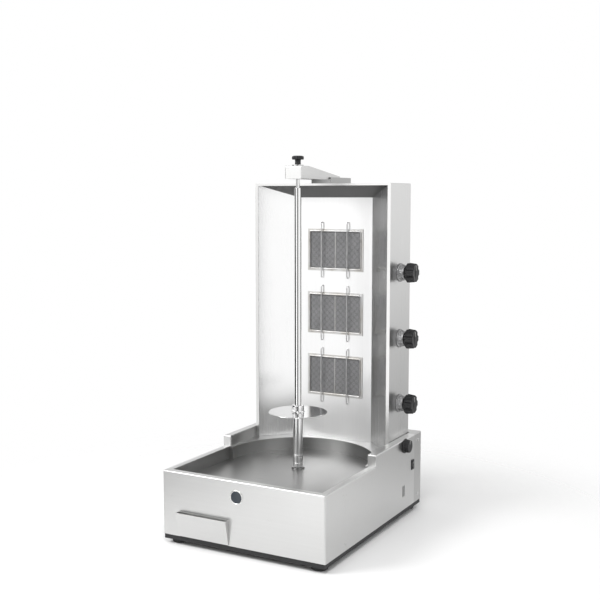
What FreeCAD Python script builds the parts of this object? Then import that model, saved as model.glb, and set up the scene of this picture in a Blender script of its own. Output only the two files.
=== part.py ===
import FreeCAD, Part
import math
import os
import re

import Sketcher

from FreeCAD import Placement, Rotation, Vector

# Vertical gas kebab grill: a worktop machine with a spit that turns in front of three infrared burners.
# Frame: millimetres, +Z up, -Y is the front where the cook stands, +X is the side with the gas knobs.
# The origin is on the worktop, at the centre of the base's footprint.

# Driving dimensions: alias, value and meaning. The sheet holds them, and every expression reads them there.
SIZES = [
    # base
    ("base_width", 460, "width of the base casing"),
    ("base_depth", 588, "depth of the base casing with its rear cover"),
    ("foot_height", 12, "rubber feet under the base tray"),
    ("tray_show", 12, "height of the black base tray that shows under the casing"),
    ("rim_z", 188, "top of the front and side rims, and of the rear deck"),
    ("rim_width", 18, "width of the flat rim round the pan"),
    ("cheek_rise", 30, "how far the rear cheeks stand above the rim"),
    ("cheek_reach", 308, "rear cover's face to where the cheeks start"),
    ("cheek_width", 22, "width of each hollow cheek"),
    ("casing_wall", 1.5, "sheet of the base casing, rear cover, deck and pan"),
    ("casing_bend", 3, "outer radius of the folded edges"),
    ("cover_depth", 50, "how far the rear cover reaches round the sides"),
    ("ledge_depth", 32, "ledge behind the tower"),
    ("pan_depth", 35, "depth of the drip pan under the rim"),
    ("pan_radius", 200, "round rear end of the drip pan"),
    ("drain_radius", 11, "drain hole over the grease drawer"),
    ("drain_x", -110, "drain hole across"),
    ("drain_inset", 69, "drain hole behind the casing's front"),
    ("foot_radius", 20, "rubber foot"),
    ("foot_inset", 30, "rubber foot's axis from the casing's sides"),
    # spit and its drive
    ("spit_inset", 301, "spit axis in front of the rear cover's face"),
    ("rod_radius", 9, "spit rod"),
    ("rod_top", 895, "top of the spit rod"),
    ("running_gap", 0.05, "radial clearance of shafts, pins and stems"),
    ("rest_gap", 0.3, "gap between parts that move past each other"),
    ("tenon_side", 12, "square end of the spit rod"),
    ("tenon_length", 16, "square end in the drive socket"),
    ("socket_radius", 13, "drive socket"),
    ("socket_z", 159, "underside of the drive socket"),
    ("socket_height", 26, "drive socket"),
    ("shaft_radius", 8, "gearbox output shaft"),
    ("boss_radius", 17, "raised collar that keeps grease out of the shaft hole"),
    ("boss_rise", 5, "height of the raised collar over the pan floor"),
    ("spacer_radius", 13, "spacer tube round the spit rod"),
    ("disc_z", 304, "underside of the meat disc"),
    ("disc_radius", 78, "meat disc"),
    ("disc_sheet", 2.5, "meat disc"),
    ("hub_radius", 16, "hub of the meat disc"),
    ("hub_height", 18, "hub of the meat disc"),
    # gear motor
    ("gearbox_z", 78, "underside of the gearbox"),
    ("gearbox_height", 40, "gearbox"),
    ("gearbox_wall", 4, "gearbox housing"),
    ("wheel_radius", 24, "worm wheel"),
    ("wheel_height", 16, "worm wheel"),
    ("worm_radius", 7.5, "worm"),
    ("worm_shaft_radius", 5, "motor shaft"),
    ("motor_radius", 31, "motor can"),
    ("motor_length", 92, "motor can"),
    ("bracket_sheet", 3, "motor bracket"),
    # top bearing and arm
    ("pin_radius", 5, "release pin"),
    ("pin_grip", 18, "how far the release pin reaches into the rod"),
    ("pin_bore", 45, "depth of the bore in the rod's top"),
    ("arm_drop", 10, "underside of the arm over the tower's top"),
    ("arm_rise", 43, "top of the arm over the tower's top, at the spit"),
    ("arm_width", 50, "arm"),
    ("arm_nose", 25, "how far the arm reaches past the spit axis"),
    ("arm_over", 67, "how far the arm reaches back over the tower"),
    ("arm_sheet", 2, "sheet of the arm and its rail"),
    ("rail_width", 60, "rail under the arm"),
    ("rail_height", 16, "rail under the arm"),
    ("rail_inset", 13, "rear end of the rail in front of the tower's back"),
    ("bush_radius", 11, "bush of the release pin"),
    ("pin_cap_radius", 15.5, "black knob on the release pin"),
    ("pin_cap_height", 10, "black knob on the release pin"),
    ("pin_neck_radius", 8, "neck of the black knob"),
    ("pin_neck_height", 13, "neck of the black knob"),
    # burner tower
    ("tower_width", 412, "tower"),
    ("tower_seat", 4, "tower's back in front of the ledge"),
    ("tower_depth", 138, "tower"),
    ("tower_top", 908, "top of the tower"),
    ("tower_wall", 1.5, "sheet of the tower casing"),
    ("hem_side", 9, "front hem at the sides"),
    ("hem_top", 6, "front hem at the top"),
    ("wing_sheet", 1.2, "sheet of the reflectors"),
    ("panel_width", 226, "burner panel between the side reflectors"),
    ("panel_back", 90, "burner panel's face behind the tower's front edge"),
    ("soffit_drop", 38, "lower edge of the top reflector under the tower's top"),
    ("burner_width", 172, "burner frame"),
    ("burner_height", 118, "burner frame"),
    ("burner_pitch", 178, "one burner to the next"),
    ("burner_low", 368, "centre of the lowest burner"),
    ("burner_depth", 38, "burner body"),
    ("frame_lap", 6, "burner frame's overlap on the panel"),
    ("tile_depth", 12, "ceramic tile"),
    ("guard_x", 40, "guard wires each side of the middle"),
    ("guard_gap", 8, "guard wires in front of the panel"),
    ("guard_radius", 1.5, "guard wire"),
    ("guard_over", 18, "guard wires reach past the burner frame"),
    # gas train
    ("knob_inset", 69, "valve axes behind the tower's front edge"),
    ("knob_drop", 54, "valve axis under the burner's centre"),
    ("knob_radius", 27, "burner knob"),
    ("knob_length", 25, "burner knob"),
    ("knob_standoff", 17, "escutcheon behind the knob"),
    ("knob_push", 3, "how far a burner knob is pushed in before it turns"),
    ("lobe_cut", 7.5, "radius of the scallops between the burner knob's lobes"),
    ("lobe_depth", 4.5, "depth of those scallops"),
    ("knurl_cut", 1.8, "radius of the scallops round the selector knob"),
    ("knurl_depth", 1.2, "depth of those scallops"),
    ("stem_radius", 4, "valve stem"),
    ("valve_radius", 13, "gas valve"),
    ("manifold_x", 170, "gas manifold"),
    ("manifold_inset", 26, "gas manifold in front of the tower's back"),
    ("manifold_radius", 8, "gas manifold"),
    ("inlet_z", 262, "gas inlet"),
    ("inlet_radius", 10.5, "half-inch pipe thread of the gas inlet"),
    ("inlet_length", 28, "threaded length of the gas inlet"),
    ("injector_radius", 3.2, "injector pipe"),
    # switches, badge and gland
    ("selector_inset", 69, "rotation selector in front of the rear cover"),
    ("selector_z", 201, "rotation selector"),
    ("selector_radius", 20, "rotation selector's knob"),
    ("selector_length", 16, "rotation selector's knob"),
    ("rocker_inset", 12, "mains rocker switch in front of the rear cover"),
    ("rocker_z", 136, "mains rocker switch"),
    ("rocker_width", 16, "bezel of the rocker switch"),
    ("rocker_height", 27, "bezel of the rocker switch"),
    ("pivot_radius", 1.5, "pivot of the rocker"),
    ("vent_inset", 74, "vent slots in front of the rear cover"),
    ("vent_z", 76, "vent slots in the side"),
    ("badge_radius", 18, "plain round badge"),
    ("badge_x", -12, "plain round badge"),
    ("badge_z", 149, "plain round badge"),
    ("gland_x", 150, "cable gland"),
    ("gland_z", 60, "cable gland"),
    ("gland_bore", 4, "cable gland's hole"),
    # grease drawer
    ("drawer_x", -109, "middle of the grease drawer"),
    ("drawer_width", 148, "drawer front"),
    ("drawer_top", 88, "top of the drawer front"),
    ("drawer_lean", 13, "how far the drawer front leans out at its top"),
    ("drawer_depth", 250, "drawer tray"),
    ("drawer_sheet", 1.2, "sheet of the drawer"),
    ("screw_radius", 2, "casing screws"),
]
# Places that follow from the sizes: alias, formula and meaning. They stand in the sheet under the sizes.
PLACES = [
    ("cheek_front", "base_depth / 2 - cheek_reach", "where the cheeks start"),
    ("drain_y", "drain_inset - base_depth / 2", "drain hole along"),
    ("spit_y", "base_depth / 2 - spit_inset", "spit axis"),
    ("tower_front", "base_depth / 2 - ledge_depth - tower_seat - tower_depth", "front edge of the tower"),
    ("arm_back", "tower_front + arm_over", "rear end of the arm"),
    ("rail_back", "tower_front + tower_depth - rail_inset", "rear end of the rail"),
    ("knob_y", "tower_front + knob_inset", "valve axes along the tower's side"),
    ("manifold_y", "tower_front + tower_depth - manifold_inset", "gas manifold"),
    ("selector_y", "base_depth / 2 - cover_depth - selector_inset", "rotation selector"),
    ("rocker_y", "base_depth / 2 - cover_depth - rocker_inset", "mains rocker switch"),
    ("vent_y", "base_depth / 2 - cover_depth - vent_inset", "vent slots in the side"),
]
KNOB_LOBES = 6
SELECTOR_LOBES = 18
WHEEL_TEETH = 40
BURNERS = ("lower", "middle", "upper")
SIDES = (("left", -1), ("right", 1))

doc = FreeCAD.newDocument("KebabGrill")
sheet = doc.addObject("Spreadsheet::Sheet", "Sizes")
formulas = [(alias, "=" + formula, meaning) for alias, formula, meaning in PLACES]
for row, (alias, value, meaning) in enumerate(SIZES + formulas, start=1):
    sheet.set(f"A{row}", alias)
    sheet.set(f"B{row}", str(value))
    sheet.set(f"C{row}", meaning)
    sheet.setAlias(f"B{row}", alias)
doc.recompute()

working = doc.addObject("Spreadsheet::Sheet", "Working")
ALIASES = {alias for alias, _, _ in SIZES + PLACES}
nodes = []


# ---------------------------------------------------------------- helpers

def ref(expression):
    """Write an expression on aliases as FreeCAD reads it, with each alias taken from the sheet."""
    return re.sub(r"[a-z_]+", lambda m: f"Sizes.{m[0]}" if m[0] in ALIASES else m[0], str(expression))


def number(expression):
    """The value that an expression has now, worked out in the spare sheet."""
    working.set("A1", "=" + ref(expression))
    working.recompute()
    return float(working.get("A1"))


def bind(thing, **properties):
    """Bind properties of an object to expressions."""
    for name, expression in properties.items():
        thing.setExpression(name, ref(expression))
    return thing


def place(thing, x="0", y="0", z="0", turn=None):
    """Bind an object's place, and turn it if asked: turn is (axis, degrees)."""
    if turn:
        thing.Placement = Placement(Vector(), Rotation(Vector(*turn[0]), turn[1]))
    for letter, expression in zip("xyz", (x, y, z)):
        thing.setExpression(f"Placement.Base.{letter}", ref(expression))
    return thing


ALONG = {"X": ((0, 1, 0), 90), "Y": ((1, 0, 0), -90), "Z": None}


def box(name, x_from, x_to, y_from, y_to, z_from, z_to):
    """A box between two corners."""
    block = doc.addObject("Part::Box", name)
    bind(
        block, Length=f"({x_to}) - ({x_from})", Width=f"({y_to}) - ({y_from})",
        Height=f"({z_to}) - ({z_from})")
    return place(block, x_from, y_from, z_from)


def rod(name, radius, length, x, y, z, axis="Z"):
    """A cylinder that starts at a point and runs along +X, +Y or +Z."""
    cylinder = doc.addObject("Part::Cylinder", name)
    bind(cylinder, Radius=radius, Height=length)
    return place(cylinder, x, y, z, ALONG[axis])


def wedge(name, y_from, y_to, front, back):
    """A block that tapers from a front rectangle to a back one: each is (half width, z from, z to)."""
    solid = doc.addObject("Part::Wedge", name)
    return bind(
        solid,
        Ymin=y_from, Xmin=f"-({front[0]})", Xmax=front[0], Zmin=front[1], Zmax=front[2],
        Ymax=y_to, X2min=f"-({back[0]})", X2max=back[0], Z2min=back[1], Z2max=back[2],
    )


def fuse(name, *shapes):
    """Join shapes."""
    joined = doc.addObject("Part::MultiFuse", name)
    joined.Shapes = list(shapes)
    return joined


def cut(name, base, *tools):
    """Take the tools away from the base."""
    result = doc.addObject("Part::Cut", name)
    result.Base = base
    result.Tool = tools[0] if len(tools) == 1 else fuse(name + "_tools", *tools)
    return result


def common(name, *shapes):
    """What the shapes share."""
    result = doc.addObject("Part::MultiCommon", name)
    result.Shapes = list(shapes)
    return result


def group(name, *shapes):
    """Separate solids that are one node."""
    result = doc.addObject("Part::Compound", name)
    result.Links = list(shapes)
    return result


def node(thing, label):
    """Give a finished piece its label, and list it for export."""
    thing.Label = label
    nodes.append(thing)
    return thing


def new_body(name):
    """An empty body."""
    return doc.addObject("PartDesign::Body", name)


def new_sketch(body, name, plane):
    """A sketch on one of the body's origin planes: XY, XZ or YZ."""
    sketch = body.newObject("Sketcher::SketchObject", name)
    role = f"{plane}_Plane"
    flat = next(item for item in body.Origin.OriginFeatures if item.Role == role)
    sketch.AttachmentSupport = [(flat, "")]
    sketch.MapMode = "FlatFace"
    return sketch


def add_polygon(sketch, corners):
    """Add a closed outline whose corners' coordinates are expressions."""
    first = sketch.GeometryCount
    spots = [Vector(number(across), number(up), 0) for across, up in corners]
    count = len(corners)
    for index, spot in enumerate(spots):
        sketch.addGeometry(Part.LineSegment(spot, spots[(index + 1) % count]))
    for index in range(count):
        following = first + (index + 1) % count
        sketch.addConstraint(Sketcher.Constraint("Coincident", first + index, 2, following, 1))
    for index, pair in enumerate(corners):
        for kind, expression in zip(("DistanceX", "DistanceY"), pair):
            datum = Sketcher.Constraint(kind, -1, 1, first + index, 1, number(expression))
            sketch.setExpression(f"Constraints[{sketch.addConstraint(datum)}]", ref(expression))
    return sketch


def add_circle(sketch, across, up, radius):
    """Add a circle whose centre and radius are expressions."""
    centre = Vector(number(across), number(up), 0)
    index = sketch.addGeometry(Part.Circle(centre, Vector(0, 0, 1), number(radius)))
    data = (
        ("DistanceX", (-1, 1, index, 3), across),
        ("DistanceY", (-1, 1, index, 3), up),
        ("Radius", (index,), radius),
    )
    for kind, where, expression in data:
        datum = sketch.addConstraint(Sketcher.Constraint(kind, *where, number(expression)))
        sketch.setExpression(f"Constraints[{datum}]", ref(expression))
    return sketch


def rectangle(across_from, across_to, up_from, up_to):
    """The four corners of a rectangle."""
    return [(across_from, up_from), (across_to, up_from), (across_to, up_to), (across_from, up_to)]


def pad(body, sketch, length, both_ways=False):
    """Pad a sketch."""
    feature = body.newObject("PartDesign::Pad", sketch.Name + "_pad")
    feature.Profile = sketch
    feature.Midplane = both_ways
    bind(feature, Length=length)
    return feature


def pocket(body, sketch, length, towards_normal=False, both_ways=False):
    """Cut a sketch into the body, and make sure that it took something away."""
    doc.recompute()
    before = body.Shape.Volume
    feature = body.newObject("PartDesign::Pocket", sketch.Name + "_pocket")
    feature.Profile = sketch
    feature.Reversed = towards_normal
    feature.Midplane = both_ways
    bind(feature, Length=length)
    doc.recompute()
    if body.Shape.Volume > before - 0.01:
        raise RuntimeError(f"{feature.Name} cuts nothing")
    return feature


def edges_where(shape, test):
    """Names of the straight edges whose middle point and direction pass a test."""
    names = []
    for index, edge in enumerate(shape.Edges, start=1):
        straight = edge.Curve.TypeId == "Part::GeomLine"
        if straight and test(edge.CenterOfMass, edge.tangentAt(edge.FirstParameter)):
            names.append(f"Edge{index}")
    return names


def near(value, target):
    """Whether two lengths are the same."""
    return abs(value - target) < 0.01


def fillet(body, base, radius, test):
    """Round the body's edges that pass a test."""
    doc.recompute()
    feature = body.newObject("PartDesign::Fillet", body.Name + "_bend")
    feature.Base = (base, edges_where(base.Shape, test))
    bind(feature, Radius=radius)
    return feature


def turned(name, outline, x="0", y="0", z="0", axis="Z"):
    """A body of revolution: outline is a list of (radius, height) along the axis."""
    body = new_body(name)
    sketch = add_polygon(new_sketch(body, name + "_outline", "XZ"), outline)
    feature = body.newObject("PartDesign::Revolution", name + "_turned")
    feature.Profile = sketch
    feature.ReferenceAxis = (sketch, ["V_Axis"])
    feature.Angle = 360
    return place(body, x, y, z, ALONG[axis])


def bent_rod(name, radius, bend, corners):
    """A round bar along straight runs with tangent arcs between them: corners are expressions."""
    points = [Vector(*(number(part) for part in corner)) for corner in corners]
    pieces = []
    start = points[0]
    for before, corner, after in zip(points, points[1:], points[2:]):
        arrive = (corner - before).normalize()
        leave = (after - corner).normalize()
        reach = number(bend) * math.tan(arrive.getAngle(leave) / 2)
        enter = corner - arrive * reach
        middle = corner + (leave - arrive).normalize() * (math.hypot(reach, number(bend)) - number(bend))
        exit_point = corner + leave * reach
        pieces.append(Part.LineSegment(start, enter).toShape())
        pieces.append(Part.Arc(enter, middle, exit_point).toShape())
        start = exit_point
    pieces.append(Part.LineSegment(start, points[-1]).toShape())
    section = Part.Wire(Part.Circle(points[0], points[1] - points[0], number(radius)).toShape())
    bar = doc.addObject("Part::Feature", name)
    bar.Shape = Part.Wire(pieces).makePipeShell([section], True, False)
    return bar


# ---------------------------------------------------------------- base

CASING_Z = "(foot_height + tray_show)"
CHEEK_Z = "(rim_z + cheek_rise)"
HALF_W = "(base_width / 2)"
HALF_D = "(base_depth / 2)"
COVER_Y = "(base_depth / 2 - cover_depth)"
CHEEK_X = "(base_width / 2 - cheek_width)"
DRAWER_LEFT = "(drawer_x - drawer_width / 2)"
DRAWER_RIGHT = "(drawer_x + drawer_width / 2)"
DRAWER_Z = f"({CASING_Z} + 2)"
NOTCH_LAP = 2
TRAY_GAP = 3


def make_base_casing():
    """Front and sides in one folded sheet, with a flat rim round the pan and raised hollow cheeks behind it."""
    body = new_body("base_casing")
    outline = new_sketch(body, "casing_side_view", "YZ")
    add_polygon(outline, [
        (f"-{HALF_D}", CASING_Z), (COVER_Y, CASING_Z), (COVER_Y, CHEEK_Z),
        ("cheek_front", CHEEK_Z), ("cheek_front", "rim_z"), (f"-{HALF_D}", "rim_z"),
    ])
    block = pad(body, outline, "base_width", both_ways=True)
    half_width, half_depth = number(HALF_W), number(HALF_D)
    rim, cheek, cheek_front = number("rim_z"), number(CHEEK_Z), number("cheek_front")

    def folded(middle, along):
        side = near(abs(middle.x), half_width)
        front = near(middle.y, -half_depth)
        upright = near(abs(along.z), 1)
        top_of_side = side and near(abs(along.y), 1) and (near(middle.z, rim) or near(middle.z, cheek))
        top_of_front = near(abs(along.x), 1) and (
            (front and near(middle.z, rim)) or (near(middle.y, cheek_front) and near(middle.z, cheek)))
        return (side and front and upright) or top_of_side or top_of_front

    fillet(body, block, "casing_bend", folded)
    inside = new_sketch(body, "casing_inside", "YZ")
    add_polygon(inside, [
        (f"casing_wall - {HALF_D}", f"{CASING_Z} - 1"), (f"{COVER_Y} + 1", f"{CASING_Z} - 1"),
        (f"{COVER_Y} + 1", f"{CHEEK_Z} - casing_wall"),
        ("cheek_front + casing_wall", f"{CHEEK_Z} - casing_wall"),
        ("cheek_front + casing_wall", "rim_z - casing_wall"),
        (f"casing_wall - {HALF_D}", "rim_z - casing_wall")])
    pocket(body, inside, "base_width - 2 * casing_wall", both_ways=True)

    opening = new_sketch(body, "casing_opening", "XY")
    inner, front = f"({HALF_W} - rim_width)", f"(rim_width - {HALF_D})"
    add_polygon(opening, [
        (f"-{inner}", front), (inner, front), (inner, "cheek_front"), (CHEEK_X, "cheek_front"),
        (CHEEK_X, f"{COVER_Y} + 1"), (f"-{CHEEK_X}", f"{COVER_Y} + 1"),
        (f"-{CHEEK_X}", "cheek_front"), (f"-{inner}", "cheek_front"),
    ])
    pocket(body, opening, f"{CHEEK_Z} + 1", towards_normal=True)

    notch = new_sketch(body, "casing_drawer_notch", "XZ")
    add_polygon(notch, rectangle(
        f"{DRAWER_LEFT} + {NOTCH_LAP}", f"{DRAWER_RIGHT} - {NOTCH_LAP}", f"{CASING_Z} - 1", "drawer_top - 3"))
    pocket(body, notch, f"{HALF_D} + 1", towards_normal=True)

    holes = new_sketch(body, "casing_side_holes", "YZ")
    add_polygon(holes, rectangle(
        "rocker_y - rocker_width / 2 + 2", "rocker_y + rocker_width / 2 - 2",
        "rocker_z - rocker_height / 2 + 2", "rocker_z + rocker_height / 2 - 2"))
    add_circle(holes, "selector_y", "selector_z", "4")
    for step in (-1, 0, 1):
        middle = f"(vent_y + {6 * step})"
        add_polygon(holes, rectangle(f"{middle} - 1.5", f"{middle} + 1.5", "vent_z - 15", "vent_z + 15"))
    pocket(body, holes, f"{HALF_W} + 1", towards_normal=True)
    return node(body, "base_casing")


def make_base_tray():
    """Black tray that closes the base from below; its upturned edge sits inside the casing."""
    inset = "(casing_wall + rest_gap)"
    half_x, half_y, wall = f"({HALF_W} - {inset})", f"({HALF_D} - {inset})", "casing_wall"
    outer = box("tray_outer", f"-{half_x}", half_x, f"-{half_y}", half_y, "foot_height", f"{CASING_Z} + 12")
    inner = box(
        "tray_inner", f"{wall} - {half_x}", f"{half_x} - {wall}", f"{wall} - {half_y}", f"{half_y} - {wall}",
        f"foot_height + {wall}", f"{CASING_Z} + 13")
    notch = box(
        "tray_notch", DRAWER_LEFT, DRAWER_RIGHT, f"-{HALF_D}", f"5 - {HALF_D}", CASING_Z, f"{CASING_Z} + 13")
    return node(cut("base_tray", outer, inner, notch), "base_tray")


def make_rear_cover(screw_holes):
    """Rear cover: it wraps round the sides and carries the ledge behind the tower."""
    body = new_body("rear_cover_body")
    outline = new_sketch(body, "cover_side_view", "YZ")
    add_polygon(outline, rectangle(COVER_Y, HALF_D, CASING_Z, CHEEK_Z))
    block = pad(body, outline, "base_width", both_ways=True)
    half_width, half_depth, top = number(HALF_W), number(HALF_D), number(CHEEK_Z)

    def folded(middle, along):
        side, rear, upper = near(abs(middle.x), half_width), near(middle.y, half_depth), near(middle.z, top)
        return (side and rear) or (side and upper) or (rear and upper)

    fillet(body, block, "casing_bend", folded)
    inside = new_sketch(body, "cover_inside", "YZ")
    add_polygon(inside, rectangle(
        f"{COVER_Y} - 1", f"{HALF_D} - casing_wall", f"{CASING_Z} - 1", f"{CHEEK_Z} - casing_wall"))
    pocket(body, inside, "base_width - 2 * casing_wall", both_ways=True)
    gap = new_sketch(body, "cover_tower_gap", "XY")
    add_polygon(gap, rectangle(f"-{CHEEK_X}", CHEEK_X, f"{COVER_Y} - 1", f"{HALF_D} - ledge_depth"))
    pocket(body, gap, f"{CHEEK_Z} + 1", towards_normal=True)
    vents = new_sketch(body, "cover_vents", "XZ")
    for step in range(7):
        middle = f"({10 * step - 30})"
        add_polygon(vents, rectangle(f"{middle} - 2", f"{middle} + 2", "vent_z - 10", "vent_z + 50"))
    add_circle(vents, "gland_x", "gland_z", "8")
    pocket(body, vents, f"{HALF_D} + 1")
    return node(cut("rear_cover", body, *screw_holes), "rear_cover")


def make_drip_pan():
    """Recessed pan: a straight front part and a round rear end in one wall, a collar and a drain spout."""
    wall, floor = "casing_wall", "(rim_z - pan_depth)"
    half, front, top = f"({HALF_W} - rim_width)", f"(rim_width - {HALF_D})", "(rim_z - casing_wall)"

    def recess(name, grow, z_from, z_to):
        block = box(
            name + "_front", f"-{half} - {grow}", f"{half} + {grow}", f"{front} - {grow}",
            f"cheek_front + {grow}", z_from, z_to)
        reach = f"pan_radius + {grow}"
        whole = rod(name + "_round", reach, f"{z_to} - {z_from}", "0", "spit_y", z_from)
        behind = box(
            name + "_behind", f"-({reach}) - 1", f"{reach} + 1", f"cheek_front + {grow} - 1",
            f"spit_y + {reach} + 1", z_from, z_to)
        disc = common(name + "_rear", whole, behind)
        return fuse(name, block, disc)

    shell = cut(
        "pan_shell", recess("pan_outer", wall, f"({floor} - {wall})", top),
        recess("pan_inner", "0", floor, f"({top} + 1)"))
    collar = rod("pan_collar", "boss_radius", f"boss_rise + {wall}", "0", "spit_y", f"{floor} - {wall}")
    spout = rod("pan_spout", f"drain_radius + {wall}", "14", "drain_x", "drain_y", f"{floor} - 14")
    shaft_hole = rod("pan_shaft_hole", "boss_radius - 3", "boss_rise + 10", "0", "spit_y", f"{floor} - 5")
    drain = rod("pan_drain", "drain_radius", "30", "drain_x", "drain_y", f"{floor} - 20")
    return node(cut("drip_pan", fuse("pan_joined", shell, collar, spout), shaft_hole, drain), "drip_pan")


def make_deck_plate():
    """Deck under the tower, cut round for the pan, with a flange up each cheek."""
    wall, rear = "casing_wall", f"({HALF_D} - casing_wall)"
    plate = box("deck_flat", f"-{CHEEK_X}", CHEEK_X, "cheek_front", rear, f"rim_z - {wall}", "rim_z")
    flange_from, flange_to = f"cheek_front + {wall}", COVER_Y
    flanges = [
        box(f"deck_flange_{side}", x_from, x_to, flange_from, flange_to, "rim_z", f"{CHEEK_Z} - {wall}")
        for side, x_from, x_to in (("left", f"-{CHEEK_X}", f"{wall} - {CHEEK_X}"),
                                   ("right", f"{CHEEK_X} - {wall}", CHEEK_X))
    ]
    hole = rod("deck_hole", "pan_radius", "10", "0", "spit_y", "rim_z - 5")
    return node(cut("deck_plate", fuse("deck_sheet", plate, *flanges), hole), "deck_plate")


def make_feet():
    """Four rubber feet."""
    feet = [
        turned(
            f"foot_{end}_{side}",
            [("0", "0"), ("foot_radius - 2", "0"), ("foot_radius", "2"), ("foot_radius - 2", "foot_height"),
             ("0", "foot_height")],
            f"{sign} * ({HALF_W} - foot_inset)", f"{way} * ({HALF_D} - foot_inset)", "0")
        for end, way in (("front", -1), ("rear", 1)) for side, sign in SIDES
    ]
    return node(group("rubber_feet", *feet), "rubber_feet")


def make_drawer_runners():
    """Two angle runners on the base tray that carry the grease drawer."""
    low, front, rear = "foot_height + casing_wall", f"10 - {HALF_D}", f"drawer_depth - {HALF_D}"
    flat = f"{DRAWER_Z} + 1.2"
    runners = []
    for side, sign in SIDES:
        outer = f"(drawer_x + {sign} * (drawer_width / 2 - 1))"
        inner = f"({outer} - {sign} * 1.5)"
        foot = f"({outer} - {sign} * 10)"
        web = (outer, inner) if sign < 0 else (inner, outer)
        ledge = (outer, foot) if sign < 0 else (foot, outer)
        runners.append(fuse(
            f"runner_{side}",
            box(f"runner_web_{side}", *web, front, rear, low, f"{DRAWER_Z} + 12"),
            box(f"runner_ledge_{side}", *ledge, front, rear, DRAWER_Z, flat)))
    return node(group("drawer_runners", *runners), "drawer_runners")


def make_drawer():
    """Grease drawer: a leaning scoop-shaped front that is the handle, and an open tray."""
    body = new_body("drawer_front")
    face_y, wall = f"(-{HALF_D} - rest_gap)", "drawer_sheet"
    outline = new_sketch(body, "drawer_side_view", "YZ")
    add_polygon(outline, [
        (face_y, DRAWER_Z), (face_y, "drawer_top"), (f"{face_y} - drawer_lean - {wall}", "drawer_top"),
        (f"{face_y} - 2 * {wall}", DRAWER_Z)])
    pad(body, outline, "drawer_width", both_ways=True)
    scoop = new_sketch(body, "drawer_scoop", "YZ")
    add_polygon(scoop, [
        (f"{face_y} - {wall}", f"{DRAWER_Z} + 6"), (f"{face_y} - {wall}", "drawer_top + 1"),
        (f"{face_y} - drawer_lean", "drawer_top + 1"), (f"{face_y} - {wall} - 0.6", f"{DRAWER_Z} + 6")])
    pocket(body, scoop, f"drawer_width - 2 * {wall}", both_ways=True)
    place(body, "drawer_x")
    node(body, "drawer_front")

    left, right = f"({DRAWER_LEFT} + 5)", f"({DRAWER_RIGHT} - 5)"
    low, high = f"({DRAWER_Z} + 1.2 + rest_gap)", "(drawer_top - 8)"
    front, rear = face_y, f"({face_y} + drawer_depth)"
    outer = box("drawer_outer", left, right, front, rear, low, high)
    inner = box(
        "drawer_inner", f"{left} + {wall}", f"{right} - {wall}", f"{front} + {wall}", f"{rear} - {wall}",
        f"{low} + {wall}", f"{high} + 1")
    node(cut("drawer_tray", outer, inner), "drawer_tray")


# ---------------------------------------------------------------- drive under the pan

WORM_X = "(wheel_radius + worm_radius + rest_gap)"
GEAR_MIDDLE = "(gearbox_z + gearbox_height / 2)"
BOX_LEFT = "(-wheel_radius - 10)"
BOX_RIGHT = f"({WORM_X} + 18)"
BOX_FRONT = "(spit_y - wheel_radius - 14)"
BOX_REAR = "(spit_y + wheel_radius + 14)"
PAN_UNDER = "(rim_z - pan_depth - casing_wall)"


def make_gear_motor():
    """Worm gearbox, its motor, and the bracket that hangs them from the pan."""
    wall = "gearbox_wall"
    outer = box(
        "gearbox_outer", BOX_LEFT, BOX_RIGHT, BOX_FRONT, BOX_REAR, "gearbox_z", "gearbox_z + gearbox_height")
    inner = box(
        "gearbox_inner", f"{BOX_LEFT} + {wall}", f"{BOX_RIGHT} - {wall}", f"{BOX_FRONT} + {wall}",
        f"{BOX_REAR} - {wall}", f"gearbox_z + {wall}", f"gearbox_z + gearbox_height - {wall}")
    shaft_bore = rod(
        "gearbox_shaft_bore", "shaft_radius + running_gap", "gearbox_height + 2", "0", "spit_y",
        f"gearbox_z + {wall} - 2")
    worm_bore = rod(
        "gearbox_worm_bore", "worm_shaft_radius + running_gap", f"{wall} + 2", WORM_X,
        f"{BOX_REAR} - {wall} - 1", GEAR_MIDDLE, "Y")
    node(cut("gearbox_housing", outer, inner, shaft_bore, worm_bore), "gearbox_housing")

    can = turned(
        "motor_can",
        [("0", "0"), ("motor_radius - 3", "0"), ("motor_radius", "3"), ("motor_radius", "motor_length - 6"),
         ("motor_radius - 6", "motor_length"), ("0", "motor_length")],
        WORM_X, BOX_REAR, GEAR_MIDDLE, "Y")
    can_bore = rod(
        "motor_bore", "worm_shaft_radius + running_gap", "motor_length - 10", WORM_X, f"{BOX_REAR} - 1",
        GEAR_MIDDLE, "Y")
    node(cut("motor_body", can, can_bore), "motor_body")

    plate_z, leg_z = f"({PAN_UNDER} - bracket_sheet)", "(gearbox_z + 12)"
    plate = box(
        "bracket_plate", f"{BOX_LEFT} - 14", f"{BOX_RIGHT} + 14", BOX_FRONT, BOX_REAR, plate_z, PAN_UNDER)
    legs = [
        box("bracket_leg_left", f"{BOX_LEFT} - bracket_sheet", BOX_LEFT, BOX_FRONT, BOX_REAR, leg_z, plate_z),
        box("bracket_leg_right", BOX_RIGHT, f"{BOX_RIGHT} + bracket_sheet", BOX_FRONT, BOX_REAR, leg_z,
            plate_z),
    ]
    bearing_hole = rod("bracket_hole", "boss_radius - 3", "10", "0", "spit_y", f"{plate_z} - 3")
    node(cut("motor_bracket", fuse("bracket_sheet", plate, *legs), bearing_hole), "motor_bracket")

    node(turned(
        "shaft_bearing",
        [("shaft_radius + running_gap", f"{PAN_UNDER} - 12"), ("boss_radius + 4", f"{PAN_UNDER} - 12"),
         ("boss_radius + 4", plate_z), ("boss_radius - 3", plate_z),
         ("boss_radius - 3", f"{PAN_UNDER} + casing_wall + boss_rise - 1"),
         ("shaft_radius + running_gap", f"{PAN_UNDER} + casing_wall + boss_rise - 1")],
        "0", "spit_y"), "shaft_bearing")


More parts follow.
